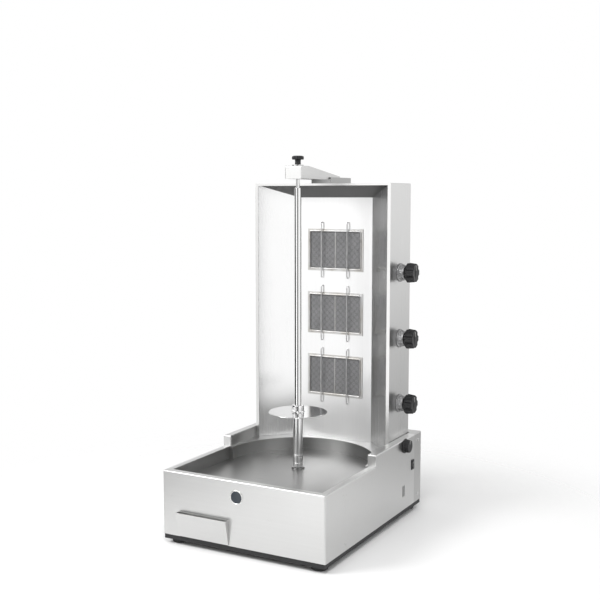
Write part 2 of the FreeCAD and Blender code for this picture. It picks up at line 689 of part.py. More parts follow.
def make_drive():
    """Everything that turns with the output shaft, and the worm that drives it."""
    shaft_low = "gearbox_z + gearbox_wall + rest_gap"
    shaft_length = f"socket_z - ({shaft_low})"
    node(rod("output_shaft", "shaft_radius", shaft_length, "0", "spit_y", shaft_low), "output_shaft")

    wheel = new_body("worm_wheel")
    rim = add_circle(new_sketch(wheel, "wheel_rim", "XY"), "0", "0", "wheel_radius")
    add_circle(rim, "0", "0", "shaft_radius")
    pad(wheel, rim, "wheel_height", both_ways=True)
    gullet = add_circle(new_sketch(wheel, "wheel_gullet", "XY"), "wheel_radius + 0.4", "0", "1.2")
    first = pocket(wheel, gullet, "wheel_height + 2", both_ways=True)
    teeth = wheel.newObject("PartDesign::PolarPattern", "wheel_teeth")
    teeth.Originals = [first]
    teeth.Axis = (rim, ["N_Axis"])
    teeth.Angle = 360
    teeth.Occurrences = WHEEL_TEETH
    wheel.Tip = teeth
    node(place(wheel, "0", "spit_y", GEAR_MIDDLE), "worm_wheel")

    barrel = turned(
        "socket_barrel",
        [("0", "0"), ("socket_radius", "0"), ("socket_radius", "socket_height - 1"),
         ("socket_radius - 1", "socket_height"), ("0", "socket_height")],
        "0", "spit_y", "socket_z")
    half = "(tenon_side / 2 + running_gap)"
    seat = box(
        "socket_seat", f"-{half}", half, f"spit_y - {half}", f"spit_y + {half}",
        "socket_z + socket_height - tenon_length - 1", "socket_z + socket_height + 1")
    node(cut("drive_socket", barrel, seat), "drive_socket")

    shaft_length = f"{BOX_REAR} - {BOX_FRONT} - gearbox_wall + motor_length - 14"
    shaft = rod(
        "worm_core", "worm_shaft_radius", shaft_length, WORM_X, f"{BOX_FRONT} + gearbox_wall + rest_gap",
        GEAR_MIDDLE, "Y")
    thread = [
        rod(f"worm_ridge_{index}", "worm_radius", "2", WORM_X, f"spit_y + {4 * index} - 1", GEAR_MIDDLE, "Y")
        for index in range(-4, 5)
    ]
    node(fuse("worm_shaft", shaft, *thread), "worm_shaft")


# ---------------------------------------------------------------- spit and its top bearing

SOCKET_TOP = "(socket_z + socket_height)"
DISC_TOP = "(disc_z + disc_sheet)"
ARM_LOW = "(tower_top + arm_drop)"
ARM_HIGH = "(tower_top + arm_rise)"
RAIL_Z = "(tower_top + rail_height)"


def make_spit():
    """Spit rod with its square end and its bored top, the spacer, and the meat disc with its set screw."""
    half = "(tenon_side / 2)"
    round_part = rod("rod_round", "rod_radius", f"rod_top - {SOCKET_TOP} - rest_gap", "0", "spit_y",
                     f"{SOCKET_TOP} + rest_gap")
    tenon = box(
        "rod_tenon", f"-{half}", half, f"spit_y - {half}", f"spit_y + {half}", f"{SOCKET_TOP} - tenon_length",
        f"{SOCKET_TOP} + 1")
    bore = rod("rod_bore", "pin_radius + running_gap", "pin_bore + 1", "0", "spit_y", "rod_top - pin_bore")
    node(cut("spit_rod", fuse("rod_joined", round_part, tenon), bore), "spit_rod")

    node(turned(
        "spit_spacer",
        [("rod_radius", f"{SOCKET_TOP} + rest_gap"), ("spacer_radius", f"{SOCKET_TOP} + rest_gap"),
         ("spacer_radius", "disc_z - rest_gap"), ("rod_radius", "disc_z - rest_gap")],
        "0", "spit_y"), "spit_spacer")

    inner = "rod_radius + running_gap"
    disc = turned(
        "disc_and_hub",
        [(inner, "disc_z"), ("disc_radius - 1", "disc_z"), ("disc_radius", "disc_z + disc_sheet / 2"),
         ("disc_radius - 1", DISC_TOP), ("hub_radius", DISC_TOP),
         ("hub_radius", f"{DISC_TOP} + hub_height - 1"), ("hub_radius - 1", f"{DISC_TOP} + hub_height"),
         (inner, f"{DISC_TOP} + hub_height")],
        "0", "spit_y")
    screw_z = f"({DISC_TOP} + hub_height / 2)"
    tapped = rod("disc_tapped_hole", "3", "hub_radius", "0", f"spit_y - {inner} - hub_radius", screw_z, "Y")
    node(cut("meat_disc", disc, tapped), "meat_disc")
    grip = "(hub_radius - rod_radius)"
    screw = turned(
        "disc_set_screw",
        [("0", "0"), ("2.9", "0"), ("2.9", grip), ("5.5", grip), ("6", f"{grip} + 0.5"),
         ("6", f"{grip} + 5.5"), ("5.5", f"{grip} + 6"), ("0", f"{grip} + 6")],
        "0", f"spit_y - {inner} - rest_gap", screw_z)
    screw.Placement = Placement(screw.Placement.Base, Rotation(Vector(1, 0, 0), 90))
    node(screw, "disc_set_screw")


def make_top_arm():
    """Wedge-shaped folded arm on its rail, the bush, and the release pin with its black knob."""
    body = new_body("arm_sheet_metal")
    front, low = "(spit_y - arm_nose)", ARM_LOW
    outline = new_sketch(body, "arm_side_view", "YZ")
    add_polygon(outline, [
        (front, low), ("tower_front", low), ("tower_front", RAIL_Z), ("arm_back", RAIL_Z),
        ("arm_back", f"{RAIL_Z} + arm_sheet + 1"), ("spit_y + 15", ARM_HIGH), (front, ARM_HIGH)])
    block = pad(body, outline, "arm_width", both_ways=True)
    nose, high, half = number(front), number(ARM_HIGH), number("arm_width / 2")

    def nose_edge(middle, along):
        at_nose, at_side = near(middle.y, nose), near(abs(middle.x), half)
        return (at_nose and at_side) or (at_nose and near(middle.z, high))

    fillet(body, block, "3", nose_edge)
    channel = new_sketch(body, "arm_channel", "YZ")
    sheet_y, sheet_z = f"{front} + arm_sheet", f"{ARM_HIGH} - arm_sheet"
    add_polygon(channel, [
        (sheet_y, f"{low} - 1"), ("tower_front + 1", f"{low} - 1"), ("tower_front + 1", f"{RAIL_Z} - 1"),
        ("arm_back - arm_sheet", f"{RAIL_Z} - 1"), ("arm_back - arm_sheet", f"{RAIL_Z} + 1"),
        ("spit_y + 15", sheet_z), (sheet_y, sheet_z)])
    pocket(body, channel, "arm_width - 2 * arm_sheet", both_ways=True)
    hole = rod("arm_bush_hole", "bush_radius", "20", "0", "spit_y", f"{ARM_HIGH} - 10")
    node(cut("top_arm", body, hole), "top_arm")

    half_rail, top = "(rail_width / 2)", "tower_top"
    outer = box("rail_outer", f"-{half_rail}", half_rail, "tower_front + 2", "rail_back", top, RAIL_Z)
    inner = box(
        "rail_inner", f"arm_sheet - {half_rail}", f"{half_rail} - arm_sheet", "tower_front", "rail_back + 1",
        f"{top} - 1", f"{RAIL_Z} - arm_sheet")
    node(cut("arm_rail", outer, inner), "arm_rail")

    bush_top = f"({ARM_HIGH} + 3)"
    bore = "pin_radius + running_gap"
    node(turned(
        "pin_bush",
        [(bore, ARM_LOW), ("bush_radius", ARM_LOW), ("bush_radius", ARM_HIGH), ("bush_radius + 5", ARM_HIGH),
         ("bush_radius + 5", bush_top), (bore, bush_top)],
        "0", "spit_y"), "pin_bush")

    tip = "(rod_top - pin_grip)"
    neck_z = f"({bush_top} + rest_gap)"
    cap_z = f"({neck_z} + pin_neck_height)"
    node(turned(
        "release_pin",
        [("0", tip), ("pin_radius - 2", tip), ("pin_radius", f"{tip} + 3"), ("pin_radius", f"{cap_z} + 4"),
         ("0", f"{cap_z} + 4")],
        "0", "spit_y"), "release_pin")
    node(turned(
        "pin_knob",
        [("pin_radius", neck_z), ("pin_neck_radius", neck_z), ("pin_neck_radius", cap_z),
         ("pin_cap_radius - 1.5", cap_z), ("pin_cap_radius", f"{cap_z} + 2"),
         ("pin_cap_radius", f"{cap_z} + pin_cap_height - 3"),
         ("pin_cap_radius - 3", f"{cap_z} + pin_cap_height"), ("0", f"{cap_z} + pin_cap_height"),
         ("0", f"{cap_z} + 4"), ("pin_radius", f"{cap_z} + 4")],
        "0", "spit_y"), "pin_knob")


# ---------------------------------------------------------------- tower

TOWER_HALF = "(tower_width / 2)"
TOWER_BACK = "(tower_front + tower_depth)"
PANEL_Y = "(tower_front + panel_back)"
SOFFIT_Z = "(tower_top - soffit_drop)"
WING_X = "(tower_width / 2 - tower_wall - wing_sheet - 0.3)"
WING_FRONT = "(tower_front + tower_wall)"
PANEL_TAB = 5
INJECTOR_TIP = "(burner_width / 2 + 22)"


def burner_z(index):
    """Height of a burner's centre, counted from the lowest."""
    return f"(burner_low + {index} * burner_pitch)"


def valve_z(index):
    """Height of a valve's axis."""
    return f"({burner_z(index)} - knob_drop)"


def make_tower_casing(screw_holes):
    """Folded casing of the tower: sides, back and top, with a hem round its open front."""
    body = new_body("tower_body")
    outline = new_sketch(body, "tower_plan", "XY")
    add_polygon(outline, rectangle(f"-{TOWER_HALF}", TOWER_HALF, "tower_front", TOWER_BACK))
    height = "(tower_top - rim_z)"
    block = pad(body, outline, height)
    half, back, top = number(TOWER_HALF), number(TOWER_BACK), number(height)

    def folded(middle, along):
        side, rear, upper = near(abs(middle.x), half), near(middle.y, back), near(middle.z, top)
        return (side and rear) or (side and upper) or (rear and upper)

    fillet(body, block, "casing_bend", folded)
    inside = new_sketch(body, "tower_inside", "XY")
    add_polygon(inside, rectangle(
        f"tower_wall - {TOWER_HALF}", f"{TOWER_HALF} - tower_wall", "tower_front + tower_wall",
        f"{TOWER_BACK} - tower_wall"))
    pocket(body, inside, f"{height} - tower_wall", towards_normal=True)
    mouth = new_sketch(body, "tower_mouth", "XZ")
    add_polygon(mouth, rectangle(
        f"hem_side - {TOWER_HALF}", f"{TOWER_HALF} - hem_side", "-1", f"{height} - hem_top"))
    pocket(body, mouth, "tower_front + tower_wall + 1")
    stems = new_sketch(body, "tower_stem_holes", "YZ")
    for index in range(len(BURNERS)):
        add_circle(stems, "knob_y", f"{valve_z(index)} - rim_z", "stem_radius + 3")
    pocket(body, stems, f"{TOWER_HALF} + 1", towards_normal=True)
    place(body, "0", "0", "rim_z")
    inlet_hole = rod(
        "tower_inlet_hole", "inlet_radius + rest_gap", "20", "manifold_x", f"{TOWER_BACK} - 10", "inlet_z", "Y")
    vents = [
        box(f"tower_vent_{index}", "-60", "60", f"{TOWER_BACK} - 5", f"{TOWER_BACK} + 1",
            f"tower_top - {40 + 14 * index}", f"tower_top - {36 + 14 * index}")
        for index in range(5)
    ]
    return node(cut("tower_casing", body, inlet_hole, *vents, *screw_holes), "tower_casing")


def make_reflectors():
    """Side and top reflectors: one tapering shell, parted along its mitres."""
    low, thick = "rim_z + rest_gap", "wing_sheet"
    front_z, back_z = "(tower_top - tower_wall - wing_sheet - 0.3)", SOFFIT_Z
    half_panel = "(panel_width / 2)"
    outer = wedge(
        "wings_outer", WING_FRONT, PANEL_Y, (f"{WING_X} + {thick}", low, f"{front_z} + {thick}"),
        (f"{half_panel} + {thick}", low, f"{back_z} + {thick}"))
    inner = wedge("wings_inner", WING_FRONT, PANEL_Y, (WING_X, low, front_z), (half_panel, low, back_z))
    under = wedge(
        "wings_under", WING_FRONT, PANEL_Y, (f"{WING_X} + 20", low, front_z),
        (f"{half_panel} + 20", low, back_z))
    side_sheets = cut("wings_sheets", common("wings_both", outer, under), inner)
    for side, x_from, x_to in (("left", f"-{HALF_W}", "0"), ("right", "0", HALF_W)):
        half = box(f"wings_half_{side}", x_from, x_to, "0", HALF_D, "0", "tower_top")
        node(common(f"reflector_{side}", side_sheets, half), f"reflector_{side}")
    node(cut("reflector_top", outer, under), "reflector_top")


def make_burner_panel():
    """Flat panel behind the reflectors with a cut-out for each burner."""
    half = f"(panel_width / 2 + {PANEL_TAB})"
    sheet_panel = box(
        "panel_sheet", f"-{half}", half, PANEL_Y, f"{PANEL_Y} + wing_sheet", "rim_z + rest_gap",
        f"{SOFFIT_Z} + {PANEL_TAB}")
    holes = [
        box(f"panel_hole_{name}", "frame_lap - burner_width / 2", "burner_width / 2 - frame_lap",
            f"{PANEL_Y} - 5", f"{PANEL_Y} + 5", f"{burner_z(index)} - burner_height / 2 + frame_lap",
            f"{burner_z(index)} + burner_height / 2 - frame_lap")
        for index, name in enumerate(BURNERS)
    ]
    node(cut("burner_panel", sheet_panel, *holes), "burner_panel")


def make_burner(index, name):
    """One burner: a framed box with a mixing tube, and two ceramic tiles in its mouth."""
    middle = burner_z(index)

    def slab(part, inset, y_from, y_to):
        half_x, half_z = f"(burner_width / 2 - {inset})", f"(burner_height / 2 - {inset})"
        return box(f"burner_{part}_{name}", f"-{half_x}", half_x, y_from, y_to, f"{middle} - {half_z}",
                   f"{middle} + {half_z}")

    face, back = f"({PANEL_Y} - 2)", f"({PANEL_Y} + burner_depth - 2)"
    seat = f"({PANEL_Y} + tile_depth)"
    frame = slab("frame", "0", face, PANEL_Y)
    case = slab("case", "(frame_lap + 0.5)", face, back)
    mouth = slab("mouth", "(frame_lap + 2.5)", f"{face} - 1", seat)
    plenum = slab("plenum", "(frame_lap + 6)", f"{seat} - 1", f"{back} - 2")
    tube_z, tube_x = f"({middle} - 24)", "(burner_width / 2 - frame_lap - 2)"
    tube_end = f"({INJECTOR_TIP} + 10)"
    tube = rod(f"burner_tube_{name}", "9", f"{tube_end} - {tube_x}", tube_x, "manifold_y", tube_z, "X")
    bore = rod(
        f"burner_bore_{name}", "injector_radius + 0.1", f"{tube_end} - {tube_x} + 5", f"{tube_x} - 4",
        "manifold_y", tube_z, "X")
    node(cut(f"burner_body_{name}", fuse(f"burner_joined_{name}", frame, case, tube), mouth, plenum, bore),
         f"burner_body_{name}")

    edge, joint = "(frame_lap + 2.7)", 0.3
    tiles = []
    for side, sign in SIDES:
        half_x, half_z = f"(burner_width / 2 - {edge})", f"(burner_height / 2 - {edge})"
        x_pair = (f"-{half_x}", f"-{joint}") if sign < 0 else (f"{joint}", half_x)
        z_pair = (f"{middle} - {half_z}", f"{middle} + {half_z}")
        tiles.append(box(f"tile_{name}_{side}", *x_pair, PANEL_Y, seat, *z_pair))
    node(group(f"burner_tiles_{name}", *tiles), f"burner_tiles_{name}")


def make_guards():
    """Two guard wires in front of each burner, with their ends bent back to the panel."""
    wires = []
    for index, name in enumerate(BURNERS):
        low = f"{burner_z(index)} - burner_height / 2 - guard_over"
        high = f"{burner_z(index)} + burner_height / 2 + guard_over"
        for side, sign in SIDES:
            x, front = f"{sign} * guard_x", f"{PANEL_Y} - guard_gap"
            corners = [(x, PANEL_Y, low), (x, front, low), (x, front, high), (x, PANEL_Y, high)]
            wires.append(bent_rod(f"guard_{name}_{side}", "guard_radius", "4", corners))
    node(group("burner_guards", *wires), "burner_guards")


# ---------------------------------------------------------------- gas train and knobs

def make_knob(name, radius, length, lobes, scallop, depth, bore, bore_depth, spot):
    """A scalloped knob that faces +X: a lobed grip, a shaft bore and a pointer groove that stands up."""
    body = new_body(name)
    disc = add_circle(new_sketch(body, name + "_grip", "XY"), "0", "0", radius)
    pad(body, disc, length)
    notch = new_sketch(body, name + "_scallop", "XY")
    add_circle(notch, f"{radius} + {scallop} - {depth}", "0", scallop)
    first = pocket(body, notch, f"{length} + 1", towards_normal=True)
    ring = body.newObject("PartDesign::PolarPattern", name + "_lobes")
    ring.Originals = [first]
    ring.Axis = (disc, ["N_Axis"])
    ring.Angle = 360
    ring.Occurrences = lobes
    body.Tip = ring
    doc.recompute()
    top = number(length)
    rim_edges = [
        f"Edge{index}" for index, edge in enumerate(ring.Shape.Edges, start=1)
        if near(edge.BoundBox.ZMin, top) and near(edge.BoundBox.ZMax, top)
    ]
    soft = body.newObject("PartDesign::Fillet", name + "_soft")
    soft.Base = (ring, rim_edges)
    soft.Radius = 2.0
    shaft_hole = add_circle(new_sketch(body, name + "_shaft_hole", "XY"), "0", "0", bore)
    pocket(body, shaft_hole, bore_depth, towards_normal=True)
    pointer = new_sketch(body, name + "_pointer", "XY")
    pointer.AttachmentOffset = Placement(Vector(0, 0, top), Rotation())
    pointer.setExpression("AttachmentOffset.Base.z", ref(length))
    add_polygon(pointer, rectangle("-1", "1", f"{radius} * 0.2", f"{radius} * 0.8"))
    pocket(body, pointer, "0.8")
    facing = Rotation(Vector(0, 1, 0), 90).multiply(Rotation(Vector(0, 0, 1), 90))
    body.Placement = Placement(Vector(), facing)
    for letter, expression in zip("xyz", spot):
        body.setExpression(f"Placement.Base.{letter}", ref(expression))
    return node(body, name)


def make_valve(index, name):
    """Gas valve behind the tower's side, its stem, and the knob on the stem."""
    height, wall_x = valve_z(index), f"({TOWER_HALF} - tower_wall)"
    left = "(manifold_x - 18)"
    barrel = rod(f"valve_barrel_{name}", "valve_radius", "36", left, "knob_y", height, "X")
    neck = rod(
        f"valve_neck_{name}", "valve_radius - 4", f"{wall_x} - {left} - 30", f"{left} + 30", "knob_y",
        height, "X")
    inlet = rod(
        f"valve_inlet_{name}", "5", "manifold_y - manifold_radius - knob_y", "manifold_x", "knob_y",
        height, "Y")
    outlet = rod(f"valve_outlet_{name}", "4", "valve_radius + 3", f"{left} + 5", "knob_y", height, "Z")
    bore = rod(f"valve_bore_{name}", "stem_radius + running_gap", "60", f"{left} + 20", "knob_y", height, "X")
    node(cut(f"gas_valve_{name}", fuse(f"valve_joined_{name}", barrel, neck, inlet, outlet), bore),
         f"gas_valve_{name}")
    stem_from = f"({left} + 20 + rest_gap)"
    knob_x = f"({TOWER_HALF} + knob_standoff + knob_push + rest_gap)"
    stem_length = f"{knob_x} + 12 - {stem_from}"
    node(rod(f"valve_stem_{name}", "stem_radius", stem_length, stem_from, "knob_y", height, "X"),
         f"valve_stem_{name}")
    make_knob(
        f"burner_knob_{name}", "knob_radius", "knob_length", KNOB_LOBES, "lobe_cut", "lobe_depth",
        "stem_radius + running_gap", "13 + knob_push", (knob_x, "knob_y", height))


def make_gas_train():
    """Escutcheons, valves, injector pipes, manifold and the threaded gas inlet."""
    rings = [
        turned(
            f"escutcheon_{name}",
            [("stem_radius + 2", "0"), ("knob_radius - 2", "0"), ("knob_radius - 2", "3"),
             ("knob_radius - 6", "knob_standoff - 2"), ("knob_radius - 8", "knob_standoff"),
             ("stem_radius + 2", "knob_standoff")],
            TOWER_HALF, "knob_y", valve_z(index), "X")
        for index, name in enumerate(BURNERS)
    ]
    node(group("knob_escutcheons", *rings), "knob_escutcheons")
    for index, name in enumerate(BURNERS):
        make_valve(index, name)

    pipes = []
    for index, name in enumerate(BURNERS):
        x, rise = "manifold_x - 13", f"{burner_z(index)} - 24"
        corners = [
            (x, "knob_y", f"{valve_z(index)} + valve_radius + 3"), (x, "knob_y", rise),
            (x, "manifold_y", rise), (INJECTOR_TIP, "manifold_y", rise)]
        pipes.append(bent_rod(f"injector_{name}", "injector_radius", "8", corners))
    node(group("injector_pipes", *pipes), "injector_pipes")

    low, high = "inlet_z - 14", f"{valve_z(len(BURNERS) - 1)} + 20"
    pipe = rod("manifold_pipe", "manifold_radius", f"{high} - ({low})", "manifold_x", "manifold_y", low)
    branch = rod(
        "manifold_branch", "6", f"{TOWER_BACK} - tower_wall - 6 - manifold_y", "manifold_x", "manifold_y",
        "inlet_z", "Y")
    node(fuse("gas_manifold", pipe, branch), "gas_manifold")

    thread = rod(
        "inlet_thread", "inlet_radius", "inlet_length + 13", "manifold_x", f"{TOWER_BACK} - tower_wall - 6",
        "inlet_z", "Y")
    nut = doc.addObject("Part::Prism", "inlet_nut")
    nut.Polygon = 6
    bind(nut, Circumradius="inlet_radius + 6", Height="5")
    place(nut, "manifold_x", TOWER_BACK, "inlet_z", ALONG["Y"])
    passage = rod(
        "inlet_passage", "inlet_radius - 3", "inlet_length + 13", "manifold_x", f"{TOWER_BACK} - 3", "inlet_z",
        "Y")
    node(cut("gas_inlet", fuse("inlet_joined", thread, nut), passage), "gas_inlet")


# ---------------------------------------------------------------- switches, badge, gland and screws

def make_switches():
    """Rotation selector in the cheek and mains rocker in the side."""
    wall_x = f"({HALF_W} - casing_wall)"
    case = box(
        "selector_case", f"{CHEEK_X} + 1", wall_x, "selector_y - 13", "selector_y + 13", "selector_z - 12",
        "selector_z + 12")
    bore = rod("selector_bore", "3 + running_gap", "30", f"{CHEEK_X} + 6", "selector_y", "selector_z", "X")
    node(cut("selector_switch", case, bore), "selector_switch")
    knob_x = f"{HALF_W} + rest_gap"
    make_knob(
        "selector_knob", "selector_radius", "selector_length", SELECTOR_LOBES, "knurl_cut", "knurl_depth",
        "3", "13", (knob_x, "selector_y", "selector_z"))
    node(rod(
        "selector_stem", "3", f"{knob_x} + 12 - ({CHEEK_X} + 6 + rest_gap)", f"{CHEEK_X} + 6 + rest_gap",
        "selector_y", "selector_z", "X"), "selector_stem")

    y_half, z_half = "(rocker_width / 2)", "(rocker_height / 2)"

    def block(name, inset, x_from, x_to):
        return box(
            name, x_from, x_to, f"rocker_y - {y_half} + {inset}", f"rocker_y + {y_half} - {inset}",
            f"rocker_z - {z_half} + {inset}", f"rocker_z + {z_half} - {inset}")

    bezel = block("bezel_flange", "0", HALF_W, f"{HALF_W} + 2")
    case = block("bezel_case", "2", f"{HALF_W} - 22", f"{HALF_W} + 2")
    well = block("bezel_well", "3", f"{HALF_W} - 9", f"{HALF_W} + 3")
    pivot_from = f"(rocker_y - {y_half} + 2.3)"
    pivot_length = "(rocker_width - 4.6)"
    seat = rod(
        "bezel_pivot_hole", "pivot_radius + running_gap", f"{pivot_length} + 0.6", HALF_W,
        f"{pivot_from} - 0.3", "rocker_z", "Y")
    node(cut("rocker_bezel", fuse("bezel_joined", bezel, case), well, seat), "rocker_bezel")

    body = new_body("rocker_cap")
    outline = new_sketch(body, "rocker_side_view", "XZ")
    reach = "(rocker_height / 2 - 4)"
    add_polygon(outline, [
        ("-3", "-4"), ("-3", "4"), ("0", reach), ("3.2", reach), ("1.6", "0"), ("3.2", f"-{reach}"),
        ("0", f"-{reach}")])
    pad(body, outline, "rocker_width - 7", both_ways=True)
    place(body, HALF_W, "rocker_y", "rocker_z")
    pivot = rod("rocker_pivot", "pivot_radius", pivot_length, HALF_W, pivot_from, "rocker_z", "Y")
    node(fuse("rocker_button", body, pivot), "rocker_button")


def make_badge_and_gland():
    """Plain round badge on the front, and the cable gland in the rear cover."""
    badge = turned(
        "badge_disc",
        [("0", "0"), ("badge_radius", "0"), ("badge_radius", "1.2"), ("badge_radius - 1.5", "2"), ("0", "2")],
        "badge_x", f"-{HALF_D}", "badge_z")
    badge.Placement = Placement(badge.Placement.Base, Rotation(Vector(1, 0, 0), 90))
    node(badge, "badge")
    node(turned(
        "cable_gland",
        [("gland_bore", "-14"), ("7.8", "-14"), ("7.8", "0"), ("12", "0"), ("12", "6"), ("9", "8"),
         ("8", "18"), ("gland_bore", "18")],
        "gland_x", HALF_D, "gland_z", "Y"), "cable_gland")


def screw_spots():
    """Places of the casing screws: (panel, x, y, z, direction that the head faces)."""
    spots = []
    for _, sign in SIDES:
        sideways = "X" if sign > 0 else "-X"
        for z in (f"({CASING_Z} + 20)", f"({CHEEK_Z} - 20)"):
            spots.append(("cover", f"{sign} * ({HALF_W} - 16)", HALF_D, z, "Y"))
            spots.append(("cover", f"{sign} * {HALF_W}", f"({HALF_D} - cover_depth / 2)", z, sideways))
        for step in range(3):
            z = f"({CHEEK_Z} + 30 + {step} * (tower_top - {CHEEK_Z} - 60) / 2)"
            spots.append(("tower", f"{sign} * ({TOWER_HALF} - 14)", TOWER_BACK, z, "Y"))
    return spots


OUTWARD = {"X": ((0, 1, 0), 90), "-X": ((0, 1, 0), -90), "Y": ((1, 0, 0), -90)}


def make_screws():
    """Pan-head screws, and the holes that they pass through, listed by panel."""
    screws, holes = [], {"cover": [], "tower": []}
    for index, (panel, x, y, z, facing) in enumerate(screw_spots()):
        screw = turned(
            f"screw_{index}",
            [("0", "-8"), ("screw_radius", "-8"), ("screw_radius", "0"), ("screw_radius * 2.2", "0"),
             ("screw_radius * 2.0", "1.4"), ("screw_radius * 1.2", "2.4"), ("0", "2.6")])
        place(screw, x, y, z, OUTWARD[facing])
        hole = doc.addObject("Part::Cylinder", f"screw_hole_{index}")
        bind(hole, Radius="screw_radius + 0.1", Height="20")
        hole.Placement = Placement(Vector(), Rotation(Vector(*OUTWARD[facing][0]), OUTWARD[facing][1]))
        shift = {"X": ("- 10", "", ""), "-X": ("+ 10", "", ""), "Y": ("", "- 10", "")}[facing]
        place(hole, f"{x} {shift[0]}", f"{y} {shift[1]}", f"{z} {shift[2]}", OUTWARD[facing])
        screws.append(screw)
        holes[panel].append(hole)
    node(group("casing_screws", *screws), "casing_screws")
    return holes


# ---------------------------------------------------------------- build, check and export

def build():
    """Make every piece."""
    holes = make_screws()
    make_base_casing()
    make_base_tray()
    make_rear_cover(holes["cover"])
    make_drip_pan()
    make_deck_plate()
    make_feet()
    make_drawer_runners()
    make_drawer()
    make_gear_motor()
    make_drive()
    make_spit()
    make_top_arm()
    make_tower_casing(holes["tower"])
    make_reflectors()
    make_burner_panel()
    for index, name in enumerate(BURNERS):
        make_burner(index, name)
    make_guards()
    make_gas_train()
    make_switches()
    make_badge_and_gland()
    doc.recompute()


def check():
    """Stop if any object failed, or if a piece's shape isn't sound."""
    for thing in doc.Objects:
        if "Invalid" in thing.State or "Error" in thing.State:
            raise RuntimeError(f"{thing.Name} failed to rebuild: {thing.State}")
    for piece in nodes:
        shape = piece.Shape
        if shape.isNull() or not shape.isValid() or shape.Volume <= 0:
            raise RuntimeError(f"{piece.Label} has no sound shape")


def export():
    """Write each piece to its own STEP file."""
    os.makedirs("parts", exist_ok=True)
    for piece in nodes:
        piece.Shape.exportStep(f"parts/{piece.Label}.step")
    print(f"{len(nodes)} pieces written")


build()
check()
export()
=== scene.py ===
import math

import bmesh
import bpy
import numpy as np
from bpy.props import FloatProperty, FloatVectorProperty, IntProperty, PointerProperty
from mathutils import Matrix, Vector


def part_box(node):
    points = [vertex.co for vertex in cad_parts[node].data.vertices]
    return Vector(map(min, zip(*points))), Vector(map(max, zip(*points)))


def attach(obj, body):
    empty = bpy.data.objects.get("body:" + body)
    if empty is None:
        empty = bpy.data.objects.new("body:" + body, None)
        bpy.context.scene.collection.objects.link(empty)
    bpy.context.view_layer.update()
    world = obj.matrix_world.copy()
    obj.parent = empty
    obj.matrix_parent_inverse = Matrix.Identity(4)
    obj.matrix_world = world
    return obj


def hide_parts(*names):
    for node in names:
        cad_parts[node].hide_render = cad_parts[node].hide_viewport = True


bl_info = {
    "name": "Vertical Kebab Grill",
    "version": (1, 0, 0),
    "blender": (4, 5, 0),
    "location": "View3D > Sidebar > Grill",
    "description": "Detailed pieces and finishes for a vertical gas kebab grill, built round its frame",
    "category": "Object",
}

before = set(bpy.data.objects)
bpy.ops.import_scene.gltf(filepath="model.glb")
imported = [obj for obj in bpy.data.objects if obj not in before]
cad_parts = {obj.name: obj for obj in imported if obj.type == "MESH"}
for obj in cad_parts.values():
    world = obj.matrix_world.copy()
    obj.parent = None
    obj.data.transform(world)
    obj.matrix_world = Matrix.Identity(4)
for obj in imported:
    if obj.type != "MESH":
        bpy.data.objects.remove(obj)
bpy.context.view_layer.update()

BURNERS = ("lower", "middle", "upper")
MM = 0.001
TURN = 2 * math.pi
# Points nearer to each other than this, in metres, are one point.
WELD = 1e-6
# Axis letter to the two directions across it and the direction along it, in right-handed order.
BASES = {
    "X": np.array([(0, 1, 0), (0, 0, 1), (1, 0, 0)], float),
    "-Y": np.array([(1, 0, 0), (0, 0, 1), (0, -1, 0)], float),
    "Y": np.array([(-1, 0, 0), (0, 0, 1), (0, 1, 0)], float),
    "-X": np.array([(0, -1, 0), (0, 0, 1), (-1, 0, 0)], float),
    "Z": np.array([(1, 0, 0), (0, 1, 0), (0, 0, 1)], float),
}


# ---------------------------------------------------------------- settings

def length_setting(name, description, default):
    """A setting in metres."""
    return FloatProperty(name=name, description=description, default=default, unit="LENGTH")


def angle_setting(name, description, default):
    """A setting in radians."""
    return FloatProperty(
        name=name, description=description, default=default, subtype="ANGLE", unit="ROTATION")


def colour_setting(name, description, default):
    """A setting that is a linear colour."""
    return FloatVectorProperty(name=name, description=description, default=default, subtype="COLOR")


class SheetSettings(bpy.types.PropertyGroup):
    """Stainless sheet and polished steel"""
    steel: colour_setting("Sheet colour", "Brushed stainless sheet", (0.60, 0.60, 0.595))
    polished: colour_setting("Polished colour", "Bright polished stainless", (0.68, 0.68, 0.68))
    roughness: FloatProperty(
        name="Roughness", description="Roughness of the brushed sheet", default=0.30, min=0.05, max=1.0)
    grain: FloatProperty(
        name="Grain lines per metre", description="How fine the brushed grain is", default=1400.0, min=100.0)


class KnobSettings(bpy.types.PropertyGroup):
    """Burner knobs, and the colour of all moulded plastic"""
    lobes: IntProperty(name="Lobes", description="Lobes round a burner knob", default=6, min=3, max=12)
    scallop: length_setting("Scallop depth", "Depth of the scallops between the lobes", 4.5 * MM)
    scallop_radius: length_setting("Scallop radius", "Radius of the scallops", 7.5 * MM)
    dish: length_setting("Dish", "How far the knob's face is dished", 1.6 * MM)
    color: colour_setting("Colour", "Black moulded plastic", (0.010, 0.010, 0.011))


class BurnerSettings(bpy.types.PropertyGroup):
    """Infrared burners"""
    pitch: length_setting("Hole pitch", "From one flame hole to the next", 3.4 * MM)
    hole: length_setting("Hole radius", "Radius of a flame hole", 0.95 * MM)
    depth: length_setting("Hole depth", "Depth of the modelled hole", 1.5 * MM)
    bead: length_setting("Frame bead", "Height of the pressed bead round the tiles", 2.2 * MM)
    color: colour_setting("Tile colour", "Fired ceramic", (0.27, 0.27, 0.275))


